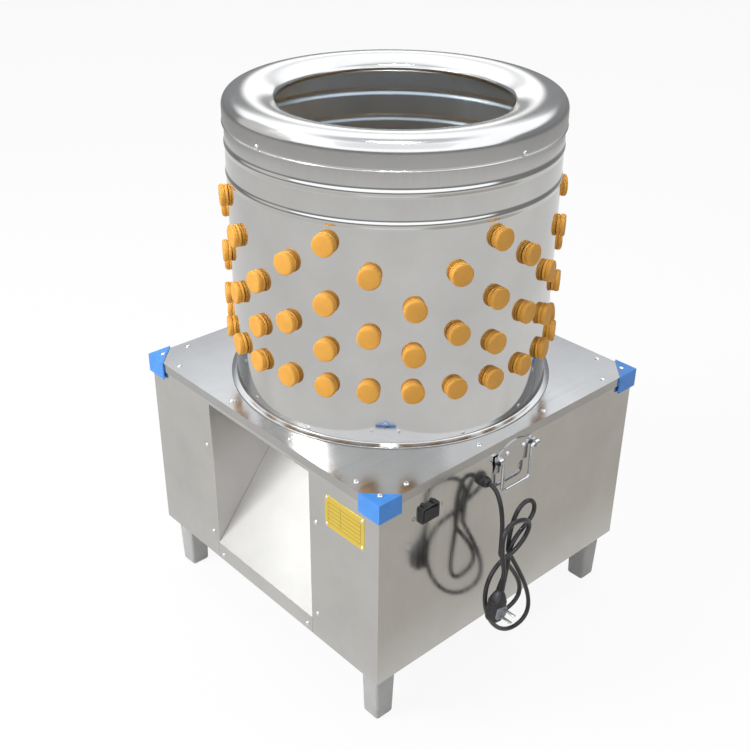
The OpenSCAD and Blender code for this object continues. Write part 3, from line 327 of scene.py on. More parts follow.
# Grain of a steel surface: a small number draws it out along that axis
EVEN = (1, 1, 1)
ACROSS = (0.02, 1, 1)
INWARD = (1, 0.02, 1)
UPRIGHT = (1, 1, 0.02)
LATHE = (1, 1, 0.05)

STAINLESS = (0.6, 0.594, 0.578)

# Steels: colour, roughness, haze, grain, grain depth and sheet wave
barrel_steel = steel("barrel_steel", STAINLESS, 0.08, 0.02, UPRIGHT, 0.002, 0.25)
# The barrel's inside is the same stainless, tinted blue-green: the tint is a painted reflection of the
# surroundings
inner_steel_painted_reflection = steel("inner_steel_painted_reflection", (0.56, 0.64, 0.7), 0.34, 0.04, UPRIGHT, 0.001, 0.5)
rim_steel = steel("rim_steel", STAINLESS, 0.16, 0.03, EVEN, 0.002, 0.3)
plate_steel = steel("plate_steel", (0.5, 0.5, 0.495), 0.2, 0.04, INWARD, 0.003, 0.3)
front_steel = steel("front_steel", STAINLESS, 0.2, 0.04, UPRIGHT, 0.004, 0.3)
side_steel = steel("side_steel", STAINLESS, 0.13, 0.04, UPRIGHT, 0.004, 0.3)
slope_steel = steel("slope_steel", (0.6, 0.595, 0.58), 0.36, 0.02, UPRIGHT, 0.001, 0.1)
# The chute's walls are the slope's stainless made darker and browner: painted shade inside the chute
wall_steel_painted_shade = steel("wall_steel_painted_shade", (0.5, 0.475, 0.45), 0.3, 0.02, UPRIGHT, 0.0005, 0.1)
disc_steel = steel("disc_steel", (0.5, 0.495, 0.485), 0.32, 0.03, EVEN, 0.002)
chrome = steel("chrome", (0.58, 0.58, 0.59), 0.13, 0.03, EVEN, 0.002)
bright_steel = steel("bright_steel", (0.78, 0.78, 0.77), 0.18, 0.05, EVEN, 0.003)
ground_steel = steel("ground_steel", (0.58, 0.58, 0.59), 0.16, 0.05, LATHE, 0.004)
turned_steel = steel("turned_steel", (0.36, 0.36, 0.37), 0.35, 0.08, LATHE, 0.008)
brass = steel("brass", (0.98, 0.71, 0.115), 0.3, 0.05, ACROSS, 0.004)
frame_paint = paint("frame_paint", (0.30, 0.31, 0.32), 0.42)
motor_paint = paint("motor_paint", (0.07, 0.15, 0.26), 0.34)
cast_iron = cast("cast_iron", (0.09, 0.095, 0.1), 0.55)
cast_aluminium = cast("cast_aluminium", (0.55, 0.55, 0.56), 0.42, 1.0)
finger_rubber = plastic("finger_rubber", (0.69, 0.33, 0.046), 0.55, 0.06, 0.004, 200, 0.25)
guard_plastic = plastic("guard_plastic", (0.045, 0.26, 0.74), 0.3)
leg_plastic = plastic("leg_plastic", (0.41, 0.41, 0.405), 0.5)
black_plastic = plastic("black_plastic", (0.016, 0.016, 0.018), 0.34)
black_rubber = plastic("black_rubber", (0.018, 0.018, 0.018), 0.6)
cord_rubber = plastic("cord_rubber", (0.02, 0.02, 0.022), 0.32, 0.1)
plug_grey = plastic("plug_grey", (0.22, 0.23, 0.25), 0.45)
mark_ink = plastic("mark_ink", (0.03, 0.03, 0.03), 0.6)

GUARDS = ["corner_guard_" + corner for corner in ("front_left", "front_right", "rear_left", "rear_right")]

NODE_LOOKS = {
    frame_paint: ["base_frame", "bearing_bridge", "motor_mount_plate"],
    plate_steel: ["top_plate"],
    front_steel: ["front_panel", "left_panel", "rear_panel"],
    side_steel: ["right_panel"],
    slope_steel: ["chute_slope"],
    wall_steel_painted_shade: ["chute_walls"],
    guard_plastic: GUARDS,
    bright_steel: ["leg_bolts", "casing_screws", "rivets", "drive_bolts"],
    brass: ["nameplate"],
    cast_iron: ["bearing_housing", "driven_pulley", "motor_pulley"],
    ground_steel: ["bearing_outer_rings", "bearing_inner_rings", "bearing_balls", "drive_shaft"],
    disc_steel: ["plucking_disc", "disc_hub", "hub_cap"],
    black_rubber: ["shaft_seal", "sweeper_blades", "drive_belt"],
    motor_paint: ["motor_housing", "motor_fan_cover"],
    cast_aluminium: ["motor_end_bell"],
    turned_steel: ["motor_rotor"],
    black_plastic: ["motor_fan", "motor_terminal_box"],
    chrome: ["handle_plates"],
}

# Pieces that keep their drawn shape, by the radius of their soft edge
EDGES = {
    0.25: ["nameplate"],
    0.4: ["front_panel", "right_panel", "rear_panel", "left_panel", "chute_slope", "chute_walls",
          "handle_plates"],
    0.5: ["base_frame"],
    0.8: ["plucking_disc", "bearing_bridge", "motor_mount_plate", *GUARDS],
    0.9: ["top_plate"],
    2.0: ["motor_terminal_box"],
}


def dress_nodes():
    """Materials and soft edges on the drawn pieces."""
    for material, names in NODE_LOOKS.items():
        for name in names:
            obj = nodes[name]
            obj.data.materials.clear()
            obj.data.materials.append(material)
    for radius, names in EDGES.items():
        for name in names:
            soften = nodes[name].modifiers.new("soft_edge", "BEVEL")
            soften.width = radius * MM
            soften.segments = EDGE_SEGMENTS
            soften.limit_method = "ANGLE"
            soften.angle_limit = math.radians(SHARP)
            soften.harden_normals = True


# Barrel and rim cap, turned at the drawing's sizes, with narrower ribs than the drawing's

BARREL_R = 250
SHEET = 1.5
BARREL_TOP = 428
FOOT_OUT = 10
FOOT_T = 2
FOOT_EDGE = 0.5
RIB_OUT = 1.4
RIB_H = 15
RIB_LEVELS = (340, 384)
RIB_STEPS = 8
# Short step beside a curve that keeps the shading of the flat wall flat
FLAT_STEP = 1.2
SEGMENTS = 256


def wall_profile(r):
    """Wall points from the plate up, with a swage at each rib level."""
    points = [(r, FOOT_T)]
    for level in RIB_LEVELS:
        points.append((r, level - RIB_H / 2 - FLAT_STEP))
        for i in range(-RIB_STEPS, RIB_STEPS + 1):
            a = i / RIB_STEPS
            points.append((r + RIB_OUT * (1 + math.cos(math.pi * a)) / 2, level + a * RIB_H / 2))
        points.append((r, level + RIB_H / 2 + FLAT_STEP))
    points.append((r, BARREL_TOP))
    return points


def make_barrel():
    foot_r = BARREL_R + FOOT_OUT
    foot = [(BARREL_R - SHEET, 0), (foot_r - FOOT_EDGE, 0), (foot_r, FOOT_EDGE),
            (foot_r, FOOT_T - FOOT_EDGE), (foot_r - FOOT_EDGE, FOOT_T), (BARREL_R + 2, FOOT_T),
            (BARREL_R + 0.5, FOOT_T + 0.6)]
    outer = [(BARREL_R, FOOT_T + 2)] + wall_profile(BARREL_R)[1:]
    inner = list(reversed(wall_profile(BARREL_R - SHEET)))
    verts, faces = revolved(foot + outer + inner, SEGMENTS, closed=True)
    verts, faces = placed([(verts, faces, moved(0, 0, plate_z))])
    shell = mesh_object("barrel_shell", verts, faces, 50)
    dress(shell, barrel_steel, ROOT, "barrel_steel", "barrel")
    # The inside faces take the blue-green steel, whose tint is a painted reflection
    shell.data.materials.append(inner_steel_painted_reflection)
    shell.data.materials.append(plate_steel)
    for i, polygon in enumerate(shell.data.polygons):
        ring = i // SEGMENTS
        if ring < len(foot) - 2:
            polygon.material_index = 2
        elif ring >= len(foot) + len(outer) - 1:
            polygon.material_index = 1


RIM_Z = 413
SKIRT_H = 24
SKIRT_GAP = 0.6
SKIRT_R = BARREL_R + SKIRT_GAP + SHEET
SKIRT_START = 3.4
BEAD_R = 1.3
SHOULDER_R = 18
CROWN_R = 95
LIP_R = 7
MOUTH_R = 174
SHOULDER_END = 80
LIP_END = 225


def rim_profile(inset):
    """Rim cap's section from the skirt's foot over the crown to the curled lip."""
    end = math.radians(SHOULDER_END)
    shoulder = (SKIRT_R - SHOULDER_R, RIM_Z + SKIRT_H)
    drop = CROWN_R - SHOULDER_R
    crown = (shoulder[0] - drop * math.cos(end), shoulder[1] - drop * math.sin(end))
    swing = CROWN_R - LIP_R
    crown_end = math.degrees(math.acos((MOUTH_R + LIP_R - crown[0]) / swing))
    tip = math.radians(crown_end)
    lip = (crown[0] + swing * math.cos(tip), crown[1] + swing * math.sin(tip))
    return (arc(shoulder, SHOULDER_R - inset, 0, SHOULDER_END, 14)
            + arc(crown, CROWN_R - inset, SHOULDER_END + 2, crown_end, 16)
            + arc(lip, LIP_R - inset, crown_end + 8, LIP_END, 14))


def make_rim():
    bead = arc((SKIRT_R - 0.4, RIM_Z + BEAD_R), BEAD_R, -90, 80, 8)
    inner = list(reversed(rim_profile(SHEET)))
    levels = (SKIRT_START, SKIRT_START + FLAT_STEP, SKIRT_H - FLAT_STEP)
    skirt = [(SKIRT_R, RIM_Z + z) for z in levels]
    profile = [(SKIRT_R - SHEET, RIM_Z)] + bead + skirt + rim_profile(0) + inner
    verts, faces = revolved(profile, SEGMENTS, closed=True)
    verts, faces = placed([(verts, faces, moved(0, 0, plate_z))])
    dress(mesh_object("rim_shell", verts, faces, 50), rim_steel, ROOT, "rim_steel", "rim_cap")


# Plucking fingers

COLUMNS = 25
COLUMN_A = 14.1
FIRST_COLUMN = -36
LOWEST_ROW = 0.215 * BARREL_TOP
EVEN_ROWS = (0.35 * BARREL_TOP, 0.514 * BARREL_TOP)
ODD_ROWS = (0.416 * BARREL_TOP, 0.626 * BARREL_TOP)
TOP_ROW = 0.72 * BARREL_TOP
HEAD_R = 16.75
HEAD_H = 13
NECK_R = 11.4
COLLAR_R = 14
ROOT_R = 11
TIP_R = 6.5
FINGER_L = 66
FINGER_RIBS = 5
FINGER_SIDES = 28
# Heights that split the barrel's fingers into its three pieces
BANDS = {
    "barrel_fingers_lower": (0, 120),
    "barrel_fingers_middle": (120, 245),
    "barrel_fingers_upper": (245, 400),
}
# Rings of the disc's fingers: radius, count and first angle
RINGS = ((64, 6, 30), (110, 12, 15), (156, 16, 11.25))
DISC_T = 4
# Degrees by which fingers lean out of true
BARREL_SWAY = 1.2
DISC_SWAY = 1


def finger_part(wall):
    """A moulded finger: domed head below the seat, neck through the wall, collar and ribbed tail."""
    head = [(0, -HEAD_H), (7, -HEAD_H + 0.05), (11.5, -HEAD_H + 0.25)]
    head += arc((HEAD_R - 3, -HEAD_H + 3.4), 3, -80, 0, 5)
    head += [(HEAD_R, -6.4), (HEAD_R - 0.5, -5.6), (HEAD_R - 2, -5.1), (HEAD_R - 2.1, -4.6),
             (HEAD_R - 0.9, -4.1), (HEAD_R - 0.4, -3.4), (HEAD_R - 0.4, -1.0), (HEAD_R - 0.9, -0.3)]
    seat = [(NECK_R, -0.25), (NECK_R, wall + 0.2), (COLLAR_R - 0.6, wall + 0.3), (COLLAR_R, wall + 0.9),
            (COLLAR_R, wall + 2.0), (COLLAR_R - 1, wall + 2.9)]
    start = wall + 4
    pitch = (FINGER_L - start - 3) / FINGER_RIBS
    tail = []
    for i in range(FINGER_RIBS):
        r = ROOT_R + (TIP_R - ROOT_R) * i / FINGER_RIBS
        z = start + i * pitch
        tail += [(r - 0.2, z), (r + 0.35, z + 0.2 * pitch), (r + 0.35, z + 0.45 * pitch),
                 (r - 0.9, z + 0.62 * pitch), (r - 1.0, z + 0.85 * pitch)]
    tip = [(TIP_R, FINGER_L - 3), (TIP_R - 1, FINGER_L - 1), (TIP_R - 3, FINGER_L), (0, FINGER_L)]
    return revolved(head + seat + tail + tip, FINGER_SIDES)


def column_rows(k):
    """Heights of the fingers in a column: the lowest row, then even or odd rows."""
    if k % 2:
        return [LOWEST_ROW, *ODD_ROWS]
    return [LOWEST_ROW, *EVEN_ROWS] + ([TOP_ROW] if (abs(k) + 2) % 4 == 0 else [])


def barrel_seats():
    """Every finger's column and height on the barrel."""
    reach = (COLUMNS - 1) // 2
    return [(k, z) for k in range(-reach, reach + 1) for z in column_rows(k)]


def make_barrel_fingers():
    part = finger_part(SHEET + 0.4)
    sway = random.Random(7)
    for node, (low, high) in BANDS.items():
        parts = []
        for k, z in barrel_seats():
            if low < z <= high:
                lean_x = turned(sway.uniform(-BARREL_SWAY, BARREL_SWAY), "X")
                lean_y = turned(sway.uniform(-BARREL_SWAY, BARREL_SWAY), "Y")
                spin = turned(sway.uniform(0, 360), "Z")
                column = turned(FIRST_COLUMN + k * COLUMN_A, "Z")
                seat = column @ moved(BARREL_R, 0, plate_z + z) @ turned(-90, "Y")
                parts.append((*part, seat @ (lean_x @ lean_y) @ spin))
        obj = mesh_object(node + "_moulded", *placed(parts))
        dress(obj, finger_rubber, ROOT, "finger_rubber", node)


def make_disc_fingers():
    part = finger_part(DISC_T)
    sway = random.Random(11)
    parts = []
    for r, count, first in RINGS:
        for i in range(count):
            seat = turned(first + 360 * i / count, "Z") @ moved(r, 0, disc_low)
            lean = turned(sway.uniform(-DISC_SWAY, DISC_SWAY), "X")
            parts.append((*part, seat @ lean @ turned(sway.uniform(0, 360), "Z")))
    obj = mesh_object("disc_fingers_moulded", *placed(parts))
    dress(obj, finger_rubber, "plucking_rotor", "finger_rubber", "disc_fingers")


# Legs: tapered posts with a rounded foot

LEG_AT = half - 33
LEG_TOP_W = 38
LEG_FOOT_W = 33
LEG_ROUND = 5


def make_legs():
    def outline(z):
        w = LEG_FOOT_W + (LEG_TOP_W - LEG_FOOT_W) * z / leg_top
        return rounded_loop(w, w, LEG_ROUND)

    def foot(inset):
        w = LEG_FOOT_W - 2 * inset
        return rounded_loop(w, w, LEG_ROUND - inset / 2)

    sections = [(0, foot(2.5)), (0.7, foot(1.1)), (2.2, foot(0.2)), (4, outline(4)),
                (leg_top - 6, outline(leg_top - 6)), (leg_top - 0.6, outline(leg_top)),
                (leg_top, outline(leg_top))]
    for side_y, row in ((-1, "front"), (1, "rear")):
        for side_x, end in ((-1, "left"), (1, "right")):
            node = "leg_%s_%s" % (row, end)
            verts, faces = placed([(*lofted(sections), moved(side_x * LEG_AT, side_y * LEG_AT, 0))])
            obj = mesh_object(node + "_post", verts, faces, 60)
            dress(obj, leg_plastic, ROOT, "leg_plastic", node)


# Switch: bezel, rocker and the plain circle and bar that mark its two sides

SWITCH_Y = -187
SWITCH_Z = plate_z - 56
SWITCH_W = 36
SWITCH_H = 27
SWITCH_OUT = 6
WELL_W = SWITCH_W - 9
WELL_H = SWITCH_H - 9
PIVOT_X = panel_out + SWITCH_OUT - 2.5
ROCKER_REST = -8
ROCKER_TOP = 4.5
ROCKER_DIP = 1.3
ROCKER_STOPS = (-1, -0.8, -0.6, -0.3, 0, 0.3, 0.6, 0.8, 1)


def on_side(y, z):
    """Matrix for a piece drawn with +X to the rear, +Y up and +Z out of the right panel."""
    return moved(panel_out, y, z) @ Matrix(((0, 0, 1, 0), (1, 0, 0, 0), (0, 1, 0, 0), (0, 0, 0, 1)))


def make_switch():
    outer = rounded_loop(SWITCH_W, SWITCH_H, 4)
    step = rounded_loop(SWITCH_W - 0.8, SWITCH_H - 0.8, 3.8)
    brow = rounded_loop(SWITCH_W - 2, SWITCH_H - 2, 3.4)
    ledge = rounded_loop(WELL_W + 3, WELL_H + 3, 2)
    well = rounded_loop(WELL_W + 0.8, WELL_H + 0.8, 1)
    sections = [(0, outer), (SWITCH_OUT - 1.6, outer), (SWITCH_OUT - 0.5, step), (SWITCH_OUT, brow),
                (SWITCH_OUT, ledge), (SWITCH_OUT - 0.6, well), (SWITCH_OUT - 8, well)]
    parts = [(*lofted(sections), on_side(SWITCH_Y, SWITCH_Z))]
    body = box_part(SWITCH_W - 6, SWITCH_H - 6, 18, 0.6)
    parts.append((*body, on_side(SWITCH_Y, SWITCH_Z) @ moved(0, 0, -17)))
    knob = revolved([(0, 0), (3.5, 0), (3.5, 4.4), (2.9, 5), (0, 5.2)], 24)
    for x in (-SWITCH_W / 4, SWITCH_W / 4):
        parts.append((*knob, on_side(SWITCH_Y + x, SWITCH_Z + SWITCH_H / 2)))
    obj = mesh_object("switch_bezel_moulded", *placed(parts), 35)
    dress(obj, black_plastic, ROOT, "switch_plastic", "switch_bezel")

    w = WELL_W / 2 - 0.6
    hollow = [(ROCKER_TOP - ROCKER_DIP * math.cos(math.pi * t / 2) ** 2, t * w) for t in ROCKER_STOPS]
    loop = [(0, -w)] + hollow + [(0, w), (-2.4, 3), (-2.4, -3)]
    h = WELL_H / 2
    rocker = lofted([(-h, loop), (-h + 0.4, loop), (h - 0.4, loop), (h, loop)])
    pin = revolved([(0, -h - 2.5), (1.5, -h - 2.5), (1.5, h + 2.5), (0, h + 2.5)], 16)
    pose = moved(PIVOT_X, SWITCH_Y, SWITCH_Z) @ turned(ROCKER_REST, "Z")
    obj = mesh_object("switch_rocker_moulded", *placed([(*rocker, pose), (*pin, pose)]), 35)
    dress(obj, black_plastic, "rocker", "switch_plastic", "switch_rocker")


# Cable gland: hexagon, domed nut and nose

GLAND_Y = -74
GLAND_Z = plate_z - 55
GLAND_R = 9.5
GLAND_OUT = 13
GLAND_HEX = 0.4 * GLAND_OUT
GLAND_IN = 14
CORD_D = 7


def make_gland():
    axis = on_side(GLAND_Y, GLAND_Z)
    corners = [math.radians(a) for a in range(30, 390, 60)]
    hexagon = [(GLAND_R * math.cos(a), GLAND_R * math.sin(a)) for a in corners]
    small = [(0.93 * x, 0.93 * y) for x, y in hexagon]
    nut = lofted([(0, small), (0.6, hexagon), (GLAND_HEX - 0.7, hexagon), (GLAND_HEX, small)])
    nose = CORD_D / 2 + 2
    dome = [(0, GLAND_HEX), (GLAND_R - 1.5, GLAND_HEX)]
    rise = GLAND_OUT - GLAND_HEX - 0.8
    for i in range(7):
        a = math.radians(15 * i)
        dome.append((nose - 0.6 + 3.1 * math.cos(a), GLAND_HEX + 0.8 + rise * math.sin(a)))
    dome.append((0, GLAND_OUT))
    rib = box_part(1.2, 1.4, 4, 0.35)
    parts = [(*nut, axis), (*revolved(dome, 40), axis)]
    for a in range(0, 360, 30):
        parts.append((*rib, axis @ turned(a, "Z") @ moved(nose + 2.4, 0, GLAND_HEX + 2.4)))
    inner = revolved([(0, -GLAND_IN), (GLAND_R - 3, -GLAND_IN), (GLAND_R - 3, 0), (0, 0)], 32)
    parts.append((*inner, axis))
    obj = mesh_object("cable_gland_moulded", *placed(parts), 35)
    dress(obj, black_plastic, ROOT, "switch_plastic", "cable_gland")
    return obj


# Mains lead: the drawing's route, its hank and the plug

NOSE = Vector((panel_out + GLAND_OUT, GLAND_Y, GLAND_Z))
WAIST = NOSE + Vector((46, 2, -106))
LAYER = CORD_D + 1
# A lobe is start, heading, middle, heading, end, heading, layers and pulls, around the waist
LOBES = [
    ((-5, 0), 175, (29, -115), 255, (6, -2.5), 4, (-1.5, -0.5), (17, 53, 56)),
    ((6, -2.5), 4, (61, 53), 7, (12, -1), 180, (-0.5, -1.5), (38, 25, 95)),
    ((12, -1), 180, (42, -162), 270, (-3, 6), 87, (-1.5, 0.5), (14, 74, 96)),
    ((-3, 6), 87, (-1, 71), 287, (-35, 0), 182, (0.5, 2.75), (29, 62, 14)),
]
LOBE_STEPS = 60
LEAD_STUB = 2
LEAD_PULLS = (20, 40)
LEAD_STEPS = 28
HANK_LEAD = 30
HANK_STEPS = 6
TAIL_HEADINGS = (184, 188, 192)
TAIL_STEP = 4


def aim(degrees):
    return Vector((math.sin(math.radians(degrees)), math.cos(math.radians(degrees))))


def cubic(a, b, c, d, t):
    return (1 - t) ** 3 * a + 3 * t * (1 - t) ** 2 * b + 3 * t * t * (1 - t) * c + t ** 3 * d


def lobe_point(lobe, t):
    """A point of one lobe of the hank, from t = 0 to 1."""
    start, start_a, middle, middle_a, end, end_a, layers, pulls = lobe
    start, middle, end = Vector(start), Vector(middle), Vector(end)
    if t < 0.5:
        p = cubic(start, start + pulls[0] * aim(start_a), middle - pulls[1] * aim(middle_a), middle, 2 * t)
    else:
        p = cubic(middle, middle + pulls[1] * aim(middle_a), end - pulls[2] * aim(end_a), end, 2 * t - 1)
    depth = layers[0] + (layers[1] - layers[0]) * (1 - math.cos(math.pi * t)) / 2
    return WAIST + Vector((LAYER * depth, p.x, p.y))


def lead_points():
    """The free stretch: straight out of the gland, over and straight down into the hank."""
    first = LOBES[0]
    end = WAIST + Vector((first[6][0] * LAYER, first[0][0], HANK_LEAD))
    a = NOSE + Vector((LEAD_STUB, 0, 0))
    d = end + Vector((0, 0, LEAD_STUB))
    b = a + Vector((LEAD_PULLS[0], 0, 0))
    c = d + Vector((0, 0, LEAD_PULLS[1]))
    bend = [cubic(a, b, c, d, i / LEAD_STEPS) for i in range(LEAD_STEPS + 1)]
    down = [end - Vector((0, 0, HANK_LEAD * i / HANK_STEPS)) for i in range(HANK_STEPS)]
    return [NOSE] + bend + down


def tail_points():
    """The last steps, which turn into the plug."""
    points = [lobe_point(LOBES[-1], 1)]
    for degrees in TAIL_HEADINGS:
        way = aim(degrees)
        points.append(points[-1] + TAIL_STEP * Vector((0, way.x, way.y)))
    return points


def make_cord(on_cord):
    points = lead_points()
    for lobe in LOBES:
        points += [lobe_point(lobe, i / LOBE_STEPS) for i in range(LOBE_STEPS)]
    points += tail_points()
    curve = bpy.data.curves.new("mains_lead", "CURVE")
    curve.dimensions = "3D"
    curve.bevel_depth = CORD_D / 2 * MM
    curve.bevel_resolution = 4
    curve.use_fill_caps = True
    spline = curve.splines.new("POLY")
    spline.points.add(len(points) - 1)
    for place, p in zip(spline.points, points):
        place.co = (*(p * MM), 1)
    lead = bpy.data.objects.new("mains_lead", curve)
    bpy.context.scene.collection.objects.link(lead)
    dress(lead, cord_rubber, ROOT, "cord_sheath", "mains_cord", "cord_hank")


RELIEF_L = 20
GRIP_L = 50
GRIP_W = 25
GRIP_D = 23
# Sections of the grip: height below the relief, depth, width and corner radius
GRIP_SECTIONS = (
    (0, 11, 12, 4), (-3, 14, 16, 5), (-9, 19, 21, 6.5), (-16, GRIP_D, GRIP_W, 7),
    (-38, GRIP_D, GRIP_W, 7), (-45, 22, 24, 7), (-48.5, 19, 21, 6.5), (-GRIP_L, 15, 17, 6),
)
PIN_L = 22
PIN_W = 6.4
PIN_T = 1.6
PIN_SHARE = 0.62
PIN_APART = (2.5, 5)


def make_plug():
    pose = moved(*tail_points()[-1]) @ turned(180 - TAIL_HEADINGS[-1], "X")
    relief = [(0, 0), (4.0, 0)]
    for i in range(5):
        r = 4.2 + 0.45 * i
        z = -1.4 - 3.6 * i
        relief += [(r, z + 0.7), (r, z - 1.1), (r - 0.7, z - 1.4), (r - 0.7, z - 2.4)]
    relief += [(6.4, -RELIEF_L), (0, -RELIEF_L)]
    grip = lofted([(z - RELIEF_L, rounded_loop(w, d, r)) for z, w, d, r in GRIP_SECTIONS])
    parts = [(*revolved(relief, 32), pose), (*grip, pose)]
    ridge = box_part(14, 1.2, 2, 0.5)
    for i in range(4):
        for side in (-1, 1):
            parts.append((*ridge, pose @ moved(0, side * (GRIP_W / 2 - 0.2), -RELIEF_L - 18 - 5 * i)))
    body = mesh_object("plug_body_moulded", *placed(parts), 50)
    dress(body, cord_rubber, ROOT, "cord_sheath", "plug_body")

    face = lofted([(GRIP_D / 2 - 1, rounded_loop(20, 22, 5)), (GRIP_D / 2 + 0.8, rounded_loop(20, 22, 5)),
                   (GRIP_D / 2 + 1.4, rounded_loop(18.6, 20.6, 4.4))])
    out = pose @ moved(0, 0, -RELIEF_L - GRIP_L * PIN_SHARE) @ turned(90, "Y")
    plate = mesh_object("plug_face", *placed([(*face, out)]), 35)
    dress(plate, plug_grey, ROOT, "cord_sheath")

    blade = box_part(PIN_L, PIN_W, PIN_T, 0.5)
    pins = []
    for side in (-1, 1):
        drop = RELIEF_L + GRIP_L * PIN_SHARE - side * PIN_APART[1] - PIN_T / 2
        pins.append((*blade, pose @ moved(GRIP_D / 2 + PIN_L / 2, side * PIN_APART[0], -drop)))
    pair = mesh_object("plug_pins_blades", *placed(pins), 35)
    dress(pair, bright_steel, ROOT, "pin_metal", "plug_pins")
    return [body, plate, pair]


# Handle bails: bent wire

BAIL_Y = -8
BAIL_LEG = 31
BAIL_DROP = 58
BAIL_R = 3
BAIL_PIN = 44
BEND_TOP = 5
BEND_LOW = 9


def bail_path():
    """Half of the wire's centre line in the YZ plane, from the pin's end to the middle of the grip."""
    points = [(BAIL_PIN, 0), (BAIL_LEG + BEND_TOP, 0)]
    points += arc((BAIL_LEG + BEND_TOP, -BEND_TOP), BEND_TOP, 90, 180, 8)[1:]
    points += arc((BAIL_LEG - BEND_LOW, -BAIL_DROP + BEND_LOW), BEND_LOW, 0, -90, 10)
    return points + [(0, -BAIL_DROP)]


def make_bails():
    side = bail_path()
    whole = side + [(-y, z) for y, z in reversed(side[:-1])]
    for body, node in (("right_bail", "bail_right"), ("left_bail", "bail_left")):
        low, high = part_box(node)
        x = (low.x + high.x) / 2 / MM
        z = high.z / MM - BAIL_R
        path = [Vector((x, BAIL_Y + y, z + dz)) for y, dz in whole]
        obj = mesh_object(node + "_wire", *swept(path, BAIL_R, 20), 60)
        dress(obj, chrome, body, "handle_chrome", node)


# Small things on the cabinet: ruled nameplate, switch marks

LABEL_X = 209
LABEL_Z = plate_z - 69
LABEL_W = 84
LABEL_FACE = -panel_out - 0.8
RULES = (17, 10, 3, -4, -11, -18)
RULE_W = 0.45
RULE_T = 0.12
RULE_EDGE = 7
MARK_GAP = 10


def make_label_rules():
    """Plain ruled lines of an empty form on the nameplate."""
    wide = box_part(LABEL_W - 2 * RULE_EDGE, RULE_T, RULE_W)
    tall = box_part(RULE_W, RULE_T, RULES[0] - RULES[-1])
    middle = (RULES[0] + RULES[-1]) / 2
    parts = [(*wide, moved(LABEL_X, LABEL_FACE, LABEL_Z + z)) for z in RULES]
    for x in (-LABEL_W / 2 + RULE_EDGE, -8, LABEL_W / 2 - RULE_EDGE):
        parts.append((*tall, moved(LABEL_X + x, LABEL_FACE, LABEL_Z + middle)))
    obj = mesh_object("nameplate_rules", *placed(parts))
    dress(obj, mark_ink, ROOT, "label_brass")


def make_switch_marks():
    ring = [(3.2, 0), (3.2, 0.12), (2.4, 0.12), (2.4, 0)]
    circle = revolved(ring, 32, closed=True)
    bar = box_part(1.0, 6.4, 0.24)
    off_y = SWITCH_Y - SWITCH_W / 2 - MARK_GAP
    on_y = SWITCH_Y + SWITCH_W / 2 + MARK_GAP
    parts = [(*circle, on_side(off_y, SWITCH_Z)), (*bar, on_side(on_y, SWITCH_Z))]
    obj = mesh_object("switch_marks", *placed(parts))
    dress(obj, mark_ink, ROOT, "switch_plastic")


# Stage: white floor, white world, soft lamps and cards that only reflections see; places in metres

FLOOR_SIDE = 18
FLOOR_GREY = 0.85
FLOOR_GLOW = 0.92
WORLD_LEVELS = (0.35, 1.0)
LAMP_TARGET = (0, 0, 0.45)
RIM_EYE = (0, 0, 0.87)


def eased(tree, value, start, end):
    """0 before start and 1 after end, smooth between; start may be the larger."""
    node = tree.nodes.new("ShaderNodeMapRange")
    node.interpolation_type = "SMOOTHSTEP"
    node.inputs["From Min"].default_value = start
    node.inputs["From Max"].default_value = end
    tree.links.new(value, node.inputs["Value"])
    return node.outputs["Result"]


def mapped(tree, value, low, high):
    """Spreads a value between 0 and 1 over low to high."""
    node = tree.nodes.new("ShaderNodeMapRange")
    node.inputs["To Min"].default_value = low
    node.inputs["To Max"].default_value = high
    tree.links.new(value, node.inputs["Value"])
    return node.outputs["Result"]


def maths(tree, operation, *values):
    node = tree.nodes.new("ShaderNodeMath")
    node.operation = operation
    for socket, value in zip(node.inputs, values):
        tree.links.new(value, socket)
    return node.outputs["Value"]


def mixed(tree, share, first, second):
    """Surface that goes from one shader to another with the share."""
    mix = tree.nodes.new("ShaderNodeMixShader")
    tree.links.new(share, mix.inputs["Fac"])
    tree.links.new(first, mix.inputs[1])
    tree.links.new(second, mix.inputs[2])
    tree.links.new(mix.outputs["Shader"], tree.nodes["Material Output"].inputs["Surface"])


def bare_material(name):
    """A node material without its shader, and its node tree."""
    material = bpy.data.materials.new(name)
    material.use_nodes = True
    tree = material.node_tree
    tree.nodes.remove(tree.nodes["Principled BSDF"])
    return material, tree


def seen_rays(tree):
    """1 for rays from the camera, in a gloss or through glass, and 0 for the rest."""
    rays = tree.nodes.new("ShaderNodeLightPath").outputs
    seen = maths(tree, "MAXIMUM", rays["Is Camera Ray"], rays["Is Glossy Ray"])
    return maths(tree, "MAXIMUM", seen, rays["Is Transmission Ray"])


def make_floor():
    material, tree = bare_material("floor_white")
    material.cycles.emission_sampling = "NONE"
    matte = tree.nodes.new("ShaderNodeBsdfDiffuse")
    matte.inputs["Color"].default_value = (FLOOR_GREY, FLOOR_GREY, FLOOR_GREY, 1)
    glow = tree.nodes.new("ShaderNodeEmission")
    share = mapped(tree, seen_rays(tree), 0, FLOOR_GLOW)
    mixed(tree, share, matte.outputs["BSDF"], glow.outputs["Emission"])
    floor = mesh_object("floor", *rectangle(FLOOR_SIDE, FLOOR_SIDE))
    floor.data.materials.append(material)


def make_world():
    world = bpy.data.worlds.new("studio")
    bpy.context.scene.world = world
    world.use_nodes = True
    tree = world.node_tree
    back = tree.nodes["Background"]
    back.inputs["Color"].default_value = (1, 1, 1, 1)
    tree.links.new(mapped(tree, seen_rays(tree), *WORLD_LEVELS), back.inputs["Strength"])


def aimed(obj, place, target):
    """Puts an object at a place with its -Z towards a target."""
    way = Vector(target) - Vector(place)
    obj.matrix_world = Matrix.Translation(place) @ way.to_track_quat("-Z", "Y").to_matrix().to_4x4()


